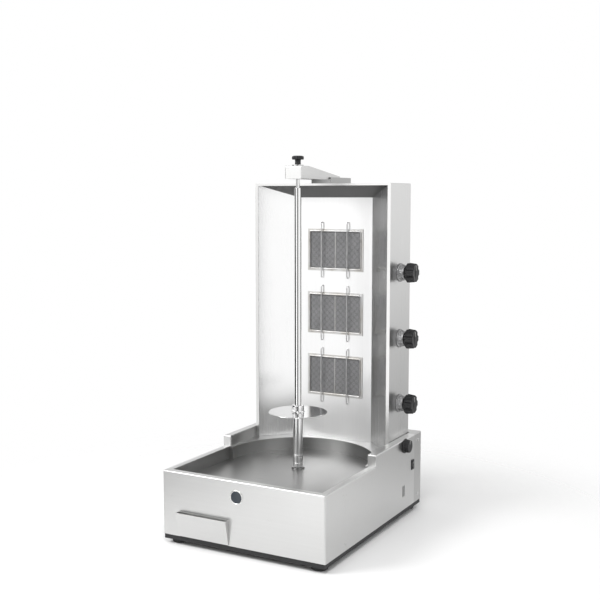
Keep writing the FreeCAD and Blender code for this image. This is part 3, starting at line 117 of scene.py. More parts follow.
class StudioSettings(bpy.types.PropertyGroup):
    """Floor and camera"""
    lens: FloatProperty(
        name="Lens", description="Focal length of the camera in millimetres", default=59.35, min=10.0)
    distance: length_setting("Distance", "Camera from the grill's upright axis", 2.581)
    height: length_setting("Height", "Camera over the worktop", 0.872)
    turn: angle_setting("Turn", "Camera round the grill, from the front towards the knobs", 0.501)
    dip: angle_setting("Dip", "How far the camera looks down", 0.104)
    floor: colour_setting("Floor colour", "Plain pale floor", (0.86, 0.86, 0.86))


# ---------------------------------------------------------------- surfaces

def quads(rows, columns, closed):
    """Faces between neighbouring rows and columns of a grid; closed joins the last column to the first."""
    last = columns if closed else columns - 1
    row, column = np.meshgrid(np.arange(rows - 1), np.arange(last), indexing="ij")
    after = (column + 1) % columns
    this, above = row * columns, (row + 1) * columns
    return np.stack((this + column, this + after, above + after, above + column), -1).reshape(-1, 4)


def placed(name, data):
    """A new object in the scene."""
    made = bpy.data.objects.new(name, data)
    bpy.context.scene.collection.objects.link(made)
    return made


def make_piece(name, grids, finish, body, replaced=(), marks=None, sharp=35.0):
    """One mesh from grids of points, each (points, closed), with a named finish, put on a CAD body.

    Points that coincide become one, so that seams and poles close, and the faces are turned outwards.
    marks is a painted-mark value, 0 to 1, for each point of the grids in order.
    """
    points = np.concatenate([grid.reshape(-1, 3) for grid, _ in grids])
    starts = np.cumsum([0] + [grid.shape[0] * grid.shape[1] for grid, _ in grids])
    faces = np.concatenate([
        quads(grid.shape[0], grid.shape[1], closed) + start for (grid, closed), start in zip(grids, starts)])
    mesh = bpy.data.meshes.new(name)
    mesh.from_pydata(points.tolist(), [], faces.tolist())
    if marks is not None:
        mark = mesh.attributes.new("mark", "FLOAT", "POINT")
        mark.data.foreach_set("value", np.asarray(marks, np.float32).ravel())
    shell = bmesh.new()
    shell.from_mesh(mesh)
    bmesh.ops.remove_doubles(shell, verts=shell.verts, dist=WELD)
    bmesh.ops.dissolve_degenerate(shell, edges=shell.edges, dist=WELD / 10)
    bmesh.ops.recalc_face_normals(shell, faces=shell.faces)
    shell.to_mesh(mesh)
    shell.free()
    mesh.shade_smooth()
    mesh.set_sharp_from_angle(angle=math.radians(sharp))
    mesh.materials.append(finish_for(finish))
    piece = placed(name, mesh)
    piece.modifiers.new("flat faces", "WEIGHTED_NORMAL").keep_sharp = True
    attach(piece, body)
    if replaced:
        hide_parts(*replaced)
    return piece


def rounded(corners, reach, steps=5):
    """A line through corners, each softened by a curve that starts and ends `reach` from it.

    On each corner c with curve ends a and b the points are (1-t)^2 a + 2t(1-t) c + t^2 b.
    The reach is cut to 0.48 of the shorter run beside the corner.
    """
    line = np.asarray(corners, float)
    run = np.diff(line, axis=0)
    length = np.linalg.norm(run, axis=1, keepdims=True)
    way = run / np.maximum(length, 1e-12)
    near = np.minimum(np.minimum(length[:-1], length[1:]) * 0.48, reach)
    corner = line[1:-1]
    start, end = corner - way[:-1] * near, corner + way[1:] * near
    t = np.linspace(0.0, 1.0, steps)[None, :, None]
    curve = (1 - t) ** 2 * start[:, None] + 2 * t * (1 - t) * corner[:, None] + t ** 2 * end[:, None]
    return np.concatenate([line[:1], curve.reshape(-1, line.shape[1]), line[-1:]])


def dense(line, longest):
    """The line with more points on its long runs, evenly spaced, so that no run is longer than `longest`."""
    length = np.linalg.norm(np.diff(line, axis=0), axis=1)
    counts = np.maximum(np.ceil(length / longest).astype(int), 1)
    along = np.concatenate([[0.0], np.cumsum(length)])
    first = np.repeat(np.arange(len(counts)), counts)
    step = np.concatenate([[0], np.cumsum(counts)])[:-1]
    share = (np.arange(counts.sum()) - np.repeat(step, counts)) / np.repeat(counts, counts)
    spots = np.concatenate([along[first] + share * length[first], along[-1:]])
    return np.stack([np.interp(spots, along, line[:, k]) for k in range(line.shape[1])], -1)


def turned(profile, centre, axis, sides=64, outline=None):
    """A profile of (radius, height) turned about an axis.

    Point = centre + r cos(a) across + r sin(a) up + height along. r is the profile's radius, or
    outline(radius, height, angle) where the section isn't round.
    """
    angle = np.linspace(0, TURN, sides, endpoint=False)[None, :]
    radius, height = profile[:, :1], profile[:, 1:2]
    reach = radius + 0 * angle if outline is None else outline(radius, height, angle)
    across, up, along = BASES[axis]
    points = (
        np.asarray(centre, float)
        + (reach * np.cos(angle))[..., None] * across
        + (reach * np.sin(angle))[..., None] * up
        + (height + 0 * angle)[..., None] * along
    )
    return points, True


def swept(path, section, side, closed=False):
    """A closed section of (outwards, sideways) carried along a flat path.

    Point = path + outwards · (side × tangent) + sideways · side. A closed path repeats its first ring.
    """
    side = np.asarray(side, float)
    tangent = np.roll(path, -1, 0) - np.roll(path, 1, 0) if closed else np.gradient(path, axis=0)
    tangent /= np.linalg.norm(tangent, axis=1, keepdims=True)
    out = np.cross(side, tangent)
    rings = path[:, None] + section[None, :, :1] * out[:, None] + section[None, :, 1:] * side
    if closed:
        return np.concatenate([rings, rings[:1]]), True
    ends = path[[0, -1], None].repeat(len(section), 1)
    return np.concatenate([ends[:1], rings, ends[1:]]), True


def smooth(low, high, value):
    """0 below low, 1 above high, and 3t^2 - 2t^3 between them."""
    t = np.clip((value - low) / (high - low), 0, 1)
    return t * t * (3 - 2 * t)


def scalloped(angle, radius, count, cut, depth, blend):
    """Outline of a grip: the round edge or a scallop's circle, whichever is nearer the axis.

    The scallop's circle lies radius + cut - depth out, and the two meet through a soft minimum,
    -blend · log(exp(-a / blend) + exp(-b / blend)).
    """
    turn = ((angle * count / TURN) % 1 - 0.5) * TURN / count
    out = radius + cut - depth
    scallop = out * np.cos(turn) - np.sqrt(np.maximum(cut ** 2 - (out * np.sin(turn)) ** 2, 0))
    return radius - blend * np.log1p(np.exp((radius - scallop) / blend))


def flutes(angle, count, sharpness=1):
    """Even waves round a piece, 0 to 1: (1/2 - cos(count · angle) / 2)^sharpness."""
    return (0.5 - 0.5 * np.cos(count * angle)) ** sharpness


def squared(angle, reach, where):
    """Round outline, but a square bar with soft corners where `where` holds.

    The square is a superellipse, half / (|cos a|^n + |sin a|^n)^(1/n).
    """
    power = 12.0
    bar = reach / (np.abs(np.cos(angle)) ** power + np.abs(np.sin(angle)) ** power) ** (1 / power)
    return np.where(where, bar, reach + 0 * angle)


def hexagonal(angle, flats, corner):
    """Outline of a hexagon with soft corners: half the width over flats, over cos of the angle to a flat."""
    turn = (angle % (TURN / 6)) - TURN / 12
    return np.minimum(flats / 2 / np.cos(turn), corner)


def plaque(low, high, face, relief, cell):
    """A slab whose front, towards -Y, is pushed back by relief(x, z): front grid, side walls and back.

    The outer three rings of the grid are the front's edge, the back's edge and the back's middle.
    """
    fewest = 4
    lines = [np.linspace(low[k], high[k], max(int((high[k] - low[k]) / cell), fewest)) for k in (0, 2)]
    across, up = np.meshgrid(*(np.pad(line, 2, "edge") for line in lines), indexing="ij")
    rows, columns = across.shape
    row, column = np.indices(across.shape)
    ring = np.minimum(np.minimum(row, rows - 1 - row), np.minimum(column, columns - 1 - column))
    depth = np.where(ring < 2, high[1], face + relief(across, up))
    across = np.where(ring < 1, (low[0] + high[0]) / 2, across)
    up = np.where(ring < 1, (low[2] + high[2]) / 2, up)
    return np.stack([across, depth, up], -1), False


def centre_of(node):
    """Middle of a CAD node's box."""
    low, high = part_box(node)
    return (np.array(low) + np.array(high)) / 2


def on_panel(x, node):
    """Middle of a CAD node's box, moved along X to x."""
    return np.array((x, *centre_of(node)[1:]))


def upright(low, high):
    """Of a box: the foot of its upright middle line, half its width, and its height."""
    return ((low.x + high.x) / 2, (low.y + high.y) / 2, low.z), (high.x - low.x) / 2, high.z - low.z


def forward(low, high):
    """Of a box: the middle of its rear face, half its width, and its depth."""
    return ((low.x + high.x) / 2, high.y, (low.z + high.z) / 2), (high.x - low.x) / 2, high.y - low.y


# ---------------------------------------------------------------- finishes

class Value:
    """A number that changes over a surface. Python's operators on it add the Math nodes."""

    def __init__(self, finish, socket):
        self.finish, self.socket = finish, socket

    def math(self, operation, *others):
        """This value and others through one Math node."""
        return self.finish.add("ShaderNodeMath", {"operation": operation}, {
            index: value for index, value in enumerate((self, *others))})

    def __add__(self, other):
        return self.math("ADD", other)

    def __sub__(self, other):
        return self.math("SUBTRACT", other)

    def __rsub__(self, other):
        return self.finish.add("ShaderNodeMath", {"operation": "SUBTRACT"}, {0: other, 1: self})

    def __mul__(self, other):
        return self.math("MULTIPLY", other)

    def __pow__(self, other):
        return self.math("POWER", other)

    def __abs__(self):
        return self.math("ABSOLUTE")

    __radd__ = __add__
    __rmul__ = __mul__

    def ramp(self, low, high, start=0.0, end=1.0):
        """Start below low, end above high, and a smooth step between."""
        return self.finish.add(
            "ShaderNodeMapRange", {"interpolation_type": "SMOOTHSTEP"},
            {"Value": self, "From Min": low, "From Max": high, "To Min": start, "To Max": end})


class Finish:
    """A material being made."""

    def __init__(self, name, **constants):
        self.material = bpy.data.materials.new(name)
        self.material.use_nodes = True
        self.nodes, self.links = self.material.node_tree.nodes, self.material.node_tree.links
        self.shader = self.nodes["Principled BSDF"]
        for socket, value in constants.items():
            self.shader.inputs[socket.replace("_", " ").title().replace("Ior", "IOR")].default_value = value
        self.place = self.add("ShaderNodeTexCoord", {}, {}, "Object")

    def add(self, kind, settings, values, output=0):
        """A node of that type: its settings first, then its sockets' values or links. Gives one output."""
        node = self.nodes.new(kind)
        for setting, value in settings.items():
            setattr(node, setting, value)
        for socket, value in values.items():
            if isinstance(value, Value):
                self.links.new(value.socket, node.inputs[socket])
            else:
                node.inputs[socket].default_value = value
        return Value(self, node.outputs[output])

    def scaled(self, *scale):
        """The piece's own coordinates, stretched."""
        return self.add(
            "ShaderNodeVectorMath", {"operation": "MULTIPLY"}, {0: self.place, 1: scale}, "Vector")

    def noise(self, scale, detail=2.0, where=None):
        """Cloudy noise, about 0 to 1."""
        return self.add("ShaderNodeTexNoise", {"noise_dimensions": "3D"}, {
            "Vector": where or self.place, "Scale": scale, "Detail": detail}, "Fac")

    def cells(self, scale):
        """Softened distance to the nearest point of a scatter."""
        return self.add("ShaderNodeTexVoronoi", {"feature": "SMOOTH_F1"}, {
            "Vector": self.place, "Scale": scale}, "Distance")

    def axes(self):
        """The three coordinates of the surface point, in metres."""
        node = self.add("ShaderNodeSeparateXYZ", {}, {"Vector": self.place})
        return [Value(self, node.socket.node.outputs[k]) for k in range(3)]

    def mix(self, share, first, second):
        """One colour to another."""
        def color(value):
            return value if isinstance(value, Value) else (*value, 1.0)
        return self.add(
            "ShaderNodeMix", {"data_type": "RGBA"}, {0: share, 6: color(first), 7: color(second)}, 2)

    def done(self, base, roughness, height, distance, metallic=None):
        """Join what changes over the surface to the shader, and give the material."""
        for socket, value in (("Base Color", base), ("Roughness", roughness), ("Metallic", metallic)):
            if value is not None:
                self.links.new(value.socket, self.shader.inputs[socket])
        bump = self.add("ShaderNodeBump", {}, {"Strength": 1.0, "Distance": distance, "Height": height})
        self.links.new(bump.socket, self.shader.inputs["Normal"])
        return self.material


class Room(Finish):
    """The world's nodes: their place is the direction looked along."""

    def __init__(self, scene):
        world = bpy.data.worlds.new("studio")
        world.use_nodes = True
        scene.world = world
        self.nodes, self.links = world.node_tree.nodes, world.node_tree.links
        self.place = self.add("ShaderNodeTexCoord", {}, {}, "Generated")

    def area(self, turn, rise, full, faded, amount):
        """A soft round area round one direction, with all angles in degrees."""
        turn, rise, full, faded = (math.radians(angle) for angle in (turn, rise, full, faded))
        way = (math.sin(turn) * math.cos(rise), -math.cos(turn) * math.cos(rise), math.sin(rise))
        nearness = self.add(
            "ShaderNodeVectorMath", {"operation": "DOT_PRODUCT"}, {0: self.place, 1: way}, "Value")
        return nearness.ramp(math.cos(faded), math.cos(full), 0.0, amount)


def shade(color, factor):
    """A colour made lighter or darker."""
    return tuple(min(part * factor, 1.0) for part in color)


def steel(name, color, roughness, along, grain, smudge=1.0, depth=0.000004):
    """Brushed stainless: grain drawn out along one axis, broader bands, smudges and a few fine scratches."""
    finish = Finish(name, metallic=1.0)
    drawn_out = 6.0
    stretch = [grain] * 3
    stretch["XYZ".index(along)] = drawn_out
    lines = finish.noise(1.0, 3.0, finish.scaled(*stretch))
    bands = finish.noise(1.0, 2.0, finish.scaled(*[part * 0.12 for part in stretch]))
    cloud = finish.noise(7.0, 3.0)
    drift = finish.noise(2.3, 1.0)
    hair = abs(finish.noise(11.0, 2.0, finish.scaled(1.0, 1.3, 0.8)) - 0.5).ramp(0.0, 0.0035, 1.0, 0.0)
    hair = hair * cloud.ramp(0.5, 0.62)
    tone = lines * 0.30 + bands * 0.35 + drift * 0.35
    base = finish.mix(tone, shade(color, 0.90), shade(color, 1.06))
    rough = roughness - 0.11 + lines * 0.08 + bands * 0.06 + cloud * (0.10 * smudge) - hair * 0.05
    return finish.done(base, rough, lines + bands * 0.6 - hair * 0.8, depth)


def polished(name, color, roughness):
    """Bright turned or polished steel with faint wiping marks."""
    finish = Finish(name, metallic=1.0)
    cloud = finish.noise(16.0, 4.0)
    turning = finish.noise(1.0, 2.0, finish.scaled(60.0, 60.0, 2600.0))
    base = finish.mix(cloud, shade(color, 0.93), shade(color, 1.04))
    return finish.done(base, roughness - 0.05 + cloud * 0.08 + turning * 0.03, turning, 0.0000015)


def heated_steel(name, color):
    """Burner frame steel: straw and brown tints where the tiles have heated it, dull between them."""
    finish = Finish(name, metallic=1.0)
    cloud = finish.noise(38.0, 4.0)
    wide = finish.noise(9.0, 2.0)
    straw = finish.mix((cloud * 0.6 + wide * 0.5).ramp(0.38, 0.72), shade(color, 0.80), (0.46, 0.445, 0.42))
    base = finish.mix(cloud.ramp(0.58, 0.76), straw, (0.34, 0.33, 0.32))
    return finish.done(base, 0.30 + cloud * 0.18, cloud, 0.00002)


def ceramic(name, color, face, depth):
    """Fired honeycomb: gritty, a little uneven in tone, and darker down in the holes."""
    finish = Finish(name)
    _, back, _ = finish.axes()
    grit = finish.noise(1500.0, 3.0)
    patch = finish.noise(26.0, 3.0)
    # Painted shade: the colour falls to 0.12 of the tile colour down in the flame holes.
    hole_painted_shade = (back - face).ramp(0.0002, depth * 0.8)
    tone = finish.mix(grit * 0.5 + patch * 0.5, shade(color, 0.72), shade(color, 1.35))
    base = finish.mix(hole_painted_shade, tone, shade(color, 0.12))
    return finish.done(base, 0.80 + grit * 0.15, grit + patch * 2.0, 0.00015)


def moulded(name, color, roughness, mark_color=None):
    """Black moulded plastic: fine orange peel, soft sheen changes and the colour of painted marks."""
    finish = Finish(name, specular_ior_level=0.32)
    peel = finish.noise(700.0, 2.0)
    cloud = finish.noise(45.0, 3.0)
    base = finish.mix(cloud, shade(color, 0.8), shade(color, 1.5))
    rough = roughness - 0.06 + cloud * 0.16
    if mark_color:
        mark = finish.add("ShaderNodeAttribute", {"attribute_name": "mark"}, {}, "Fac")
        worn = mark * cloud.ramp(0.18, 0.34, 0.55, 1.0)
        base = finish.mix(worn, base, mark_color)
        rough = rough + mark * 0.12
    return finish.done(base, rough, peel, 0.00003)


def rubber(name, color):
    """Dull rubber with a dusty bloom."""
    finish = Finish(name)
    grain = finish.noise(900.0, 3.0)
    bloom = finish.noise(30.0, 4.0).ramp(0.45, 0.8)
    return finish.done(finish.mix(bloom, color, shade(color, 2.6)), 0.72 + bloom * 0.14, grain, 0.00005)


def powder_coat(name, color, roughness, pebble=0.00006):
    """Powder coat: small pebbles, slightly uneven sheen, worn lighter in spots."""
    finish = Finish(name)
    pebbles = finish.cells(650.0)
    cloud = finish.noise(20.0, 3.0)
    dust = finish.noise(120.0, 4.0).ramp(0.60, 0.78)
    base = finish.mix(cloud, shade(color, 0.8), shade(color, 1.3))
    base = finish.mix(dust * 0.35, base, (0.10, 0.10, 0.10))
    return finish.done(base, roughness - 0.08 + cloud * 0.16, pebbles, pebble)


def machined(name, color, roughness, rings=2200.0):
    """Turned or cast metal: fine tool lines over a cloudy tarnish."""
    finish = Finish(name, metallic=1.0)
    lines = finish.noise(1.0, 2.0, finish.scaled(rings * 0.2, rings * 0.2, rings))
    tarnish = finish.noise(55.0, 4.0)
    base = finish.mix(tarnish.ramp(0.3, 0.75), shade(color, 1.05), shade(color, 0.72))
    rough = roughness - 0.08 + tarnish * 0.16 + lines * 0.06
    return finish.done(base, rough, lines + tarnish * 2.0, 0.00001)


def enamel(name, color):
    """Glossy enamel over a stamped disc, with a darker edge where it lies thin."""
    finish = Finish(name, coat_weight=0.25, coat_roughness=0.12)
    mark = finish.add("ShaderNodeAttribute", {"attribute_name": "mark"}, {}, "Fac")
    cloud = finish.noise(160.0, 3.0)
    base = finish.mix(cloud, shade(color, 0.85), shade(color, 1.15))
    base = finish.mix(mark, base, (0.78, 0.78, 0.77))
    return finish.done(base, 0.34 - mark * 0.1 + cloud * 0.06, cloud, 0.00002, metallic=mark)


def finish_for(name):
    """The named finish, made when it is first asked for."""
    made = bpy.data.materials.get(name)
    if made:
        return made
    scene = bpy.context.scene
    sheets, knobs, burners = scene.grill_sheets, scene.grill_knobs, scene.grill_burners
    metal, bright = tuple(sheets.steel), tuple(sheets.polished)
    tile_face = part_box("burner_tiles_middle")[0].y
    rough, grain = sheets.roughness, sheets.grain
    maker, *values = {
        "sheet along x": (steel, metal, rough, "X", grain),
        "sheet along y": (steel, metal, rough, "Y", grain),
        "sheet along z": (steel, metal, rough, "Z", grain, 0.8, 0.000002),
        "bright sheet": (steel, bright, 0.26, "Z", grain, 0.7, 0.000002),
        "panel sheet": (steel, shade(bright, 1.08), 0.36, "Z", grain, 0.7, 0.000002),
        # Painted shade: the drip pan's steel is darkened to 0.60 of the sheet colour, standing in for the
        # shade down in the recessed pan.
        "pan sheet": (steel, shade(metal, 0.60), 0.28, "X", grain * 0.7, 1.4, 0.000006),
        "cover sheet": (steel, shade(metal, 0.82), 0.36, "Z", grain),
        # Painted shade: the soffit over the burners is steel darkened to 0.13 of the sheet colour, standing
        # in for the shade under it.
        "soffit sheet": (steel, shade(metal, 0.13), 0.34, "X", grain, 0.7, 0.000002),
        "arm sheet": (steel, shade(metal, 1.02), 0.32, "Y", grain, 2.2),
        "rail sheet": (steel, shade(metal, 0.62), 0.34, "Y", grain),
        "polished steel": (polished, bright, 0.16),
        "satin steel": (polished, shade(bright, 1.1), 0.28),
        "turned steel": (machined, (0.66, 0.66, 0.66), 0.30),
        "heated steel": (heated_steel, bright),
        "wire steel": (machined, (0.62, 0.62, 0.62), 0.34, 900.0),
        "fired ceramic": (ceramic, tuple(burners.color), tile_face, burners.depth),
        "moulded black": (moulded, tuple(knobs.color), 0.36, (0.62, 0.62, 0.60)),
        "nylon black": (moulded, (0.03, 0.03, 0.03), 0.55),
        "black rubber": (rubber, (0.014, 0.014, 0.014)),
        # Painted shade: the bottom tray is a real part, coated near black so that the band under the base
        # looks like the shadow beneath the machine.
        "black coat": (powder_coat, (0.009, 0.009, 0.010), 0.58),
        "motor enamel": (powder_coat, (0.06, 0.07, 0.08), 0.40, 0.00003),
        "brass": (machined, (0.72, 0.53, 0.27), 0.30),
        "die cast": (machined, (0.36, 0.36, 0.365), 0.46, 400.0),
        "drawn tube": (machined, (0.70, 0.70, 0.71), 0.28),
        "badge enamel": (enamel, (0.012, 0.020, 0.030)),
    }[name]
    return maker(name, *values)


# Finish to the CAD nodes that have it. A name that ends in an underscore stands for one node per burner.
NODE_FINISHES = {
    "sheet along x": "base_casing deck_plate drawer_front motor_bracket",
    "sheet along y": "drawer_tray drawer_runners",
    "sheet along z": "tower_casing",
    "bright sheet": "reflector_left reflector_right",
    "panel sheet": "burner_panel",
    # The drip pan's darker steel is painted shade.
    "pan sheet": "drip_pan",
    "cover sheet": "rear_cover",
    # The top reflector's near-black steel is painted shade.
    "soffit sheet": "reflector_top",
    "arm sheet": "top_arm",
    "rail sheet": "arm_rail",
    "polished steel": "release_pin spit_rod meat_disc",
    "satin steel": "spit_spacer",
    "turned steel": "shaft_bearing output_shaft worm_shaft pin_bush casing_screws disc_set_screw "
                    "drive_socket",
    "heated steel": "burner_body_",
    "wire steel": "burner_guards",
    "fired ceramic": "burner_tiles_",
    "moulded black": "rocker_bezel rocker_button pin_knob selector_knob burner_knob_",
    "nylon black": "selector_switch cable_gland",
    "black rubber": "rubber_feet",
    # The bottom tray's near-black coat stands in for the shadow under the base.
    "black coat": "base_tray",
    "motor enamel": "motor_body",
    "brass": "worm_wheel selector_stem gas_inlet gas_valve_ valve_stem_",
    "die cast": "gearbox_housing knob_escutcheons",
    "drawn tube": "injector_pipes gas_manifold",
    "badge enamel": "badge",
}


# ---------------------------------------------------------------- operators

class GRILL_OT_finishes(bpy.types.Operator):
    """Give every piece of the frame its finish"""
    bl_idname = "grill.finishes"
    bl_label = "Frame finishes"

    def execute(self, context):
        for finish, group in NODE_FINISHES.items():
            for name in group.split():
                for node in [name + burner for burner in BURNERS] if name.endswith("_") else [name]:
                    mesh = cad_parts[node].data
                    mesh.materials.clear()
                    mesh.materials.append(finish_for(finish))
        return {"FINISHED"}


class GRILL_OT_burner_knobs(bpy.types.Operator):
    """Lobed knobs of the gas valves, each with a dished face and a painted pointer"""
    bl_idname = "grill.burner_knobs"
    bl_label = "Burner knobs"

    def execute(self, context):
        knobs = context.scene.grill_knobs
        for burner in BURNERS:
            node = f"burner_knob_{burner}"
            low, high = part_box(node)
            radius, length = (high.z - low.z) / 2, high.x - low.x
            grid, marks = knob_grid(radius, length, on_panel(low.x, node), knobs)
            piece = make_piece(f"knob_{burner}", [grid], "moulded black", f"knob_{burner}", [node], marks)
        return {"FINISHED"}


def knob_grid(radius, length, centre, knobs):
    """A lobed knob that faces +X, and its painted marks.

    The side is the scalloped outline, drawn in by a tenth towards the face and faded to round towards the
    axis. The face is dished by dish · (1 - (r / R)^2) and carries a bar along the pointer.
    """
    skirt, tuck = 3.0 * MM, 3.5 * MM
    side = dense(rounded([
        (0, 0), (radius - tuck, 0), (radius - tuck, skirt * 0.4), (radius, skirt), (radius, skirt * 2),
        (radius * 0.92, length), (radius * 0.58, length), (0, length)], 2.6 * MM, 7), 1.3 * MM)

    def outline(reach, height, angle):
        share = reach / radius
        edge = scalloped(angle, radius, knobs.lobes, knobs.scallop_radius, knobs.scallop, 0.5 * MM) / radius
        return reach * (1 + (edge - 1) * smooth(0.62, 0.86, share))

    points, closed = turned(side, centre, "X", 168, outline)
    across, up = points[..., 1] - centre[1], points[..., 2] - centre[2]
    share = np.hypot(across, up) / radius
    face = smooth(length - 1.0 * MM, length - 0.1 * MM, side[:, 1:2])
    dish = knobs.dish * (1 - smooth(0.0, 0.86, share))
    bar = smooth(2.4 * MM, 1.5 * MM, np.abs(across)) * smooth(0.84, 0.74, share)
    bar_height = 1.5 * MM
    points[..., 0] += face * (bar * bar_height - dish)
    points[..., 0] = np.minimum(points[..., 0], centre[0] + length)
    mark = face * smooth(0.9 * MM, 0.6 * MM, np.abs(across)) * smooth(0.20, 0.30, up / radius)
    return (points, closed), mark * smooth(0.84, 0.80, share)


class GRILL_OT_escutcheons(bpy.types.Operator):
    """Cast collars behind the burner knobs, with raised index pips"""
    bl_idname = "grill.escutcheons"
    bl_label = "Knob escutcheons"

    def execute(self, context):
        low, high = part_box("knob_escutcheons")
        radius, depth, bore = (high.y - low.y) / 2, high.x - low.x, 6.0 * MM
        profile = dense(rounded([
            (bore, 0), (radius, 0), (radius, depth * 0.18), (radius * 0.86, depth * 0.26),
            (radius * 0.80, depth * 0.82), (radius * 0.74, depth), (bore, depth), (bore, 0)],
            1.4 * MM, 5), 2 * MM)

        def outline(reach, height, angle):
            count, width, rise = 12, 0.10, 0.9 * MM
            pips = np.exp(-(((angle * count / TURN + 0.5) % 1 - 0.5) / width) ** 2)
            band = smooth(0.30, 0.36, height / depth) * smooth(0.80, 0.72, height / depth)
            return reach + pips * band * smooth(radius * 0.7, radius * 0.76, reach) * rise

        places = [on_panel(low.x, f"burner_knob_{burner}") for burner in BURNERS]
        grids = [turned(profile, place, "X", 144, outline) for place in places]
        piece = make_piece("escutcheons", grids, "die cast", "grill", ["knob_escutcheons"])
        return {"FINISHED"}


class GRILL_OT_burner_tiles(bpy.types.Operator):
    """Ceramic plaques with rows of flame holes, and the pressed frame round each pair"""
    bl_idname = "grill.burner_tiles"
    bl_label = "Burner tiles"

    def execute(self, context):
        burners = context.scene.grill_burners
        for burner in BURNERS:
            node = f"burner_tiles_{burner}"
            low, high = (np.array(corner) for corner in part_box(node))
            middle = (low + high) / 2
            gap = 0.3 * MM
            tiles = [
                plaque((side_low, low[1], low[2]), (side_high, high[1], high[2]), low[1],
                       lambda x, z: self.holes(x - middle[0], z - middle[2], burners), 0.62 * MM)
                for side_low, side_high in ((low[0], -gap), (gap, high[0]))
            ]
            piece = make_piece(f"tiles_{burner}", tiles, "fired ceramic", "grill", [node], sharp=60.0)
            self.frame_round(burner, low, high, burners)
        return {"FINISHED"}

    @staticmethod
    def holes(x, z, burners):
        """Depth of the plaque's face: round holes on a staggered grid over shallow diamond cells."""
        row_height = burners.pitch * math.sqrt(3) / 2
        row = np.round(z / row_height)
        shift = (row % 2) * burners.pitch / 2
        column = np.round((x - shift) / burners.pitch)
        reach = np.hypot(x - shift - column * burners.pitch, z - row * row_height)
        hole = smooth(burners.hole * 1.25, burners.hole * 0.7, reach) * burners.depth
        cell, groove, sink = 17.0 * MM, 0.5 * MM, 0.05 * MM
        slant = np.abs(np.sin(math.pi * (x + z) / cell) * np.sin(math.pi * (x - z) / cell))
        return hole + (1 - slant) ** 4 * groove + sink

    @staticmethod
    def frame_round(burner, low, high, burners):
        """Rounded bead on the burner's frame and a bar over the joint of the two tiles."""
        middle = (low + high) / 2
        half_x, half_z = (high[0] - low[0]) / 2, (high[2] - low[2]) / 2
        lip, face = 2.6 * MM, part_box(f"burner_body_{burner}")[0].y
        corner = 5.0 * MM
        path = rounded([
            (half_x + lip, 0), (half_x + lip, half_z + lip), (-half_x - lip, half_z + lip),
            (-half_x - lip, -half_z - lip), (half_x + lip, -half_z - lip), (half_x + lip, 0)], corner, 7)[:-1]
        path = np.stack([path[:, 0] + middle[0], np.full(len(path), face), path[:, 1] + middle[2]], -1)
        angle = np.linspace(0, TURN, 14, endpoint=False)
        section = np.stack([2.2 * MM * np.cos(angle), -burners.bead * np.sin(angle)], -1)
        grids = [swept(path, section, (0, 1, 0), closed=True)]
        half_bar, rise = 1.0 * MM, 0.8 * MM
        strip = rounded([(-half_bar, 0), (-half_bar, rise), (half_bar, rise), (half_bar, 0)], 0.4 * MM)
        bar = np.array([(middle[0], low[1], middle[2] + end) for end in (-half_z, half_z)])
        grids.append(swept(bar, np.stack([strip[:, 0], -strip[:, 1]], -1), (0, 1, 0)))
        piece = make_piece(f"burner_trim_{burner}", grids, "heated steel", "grill")


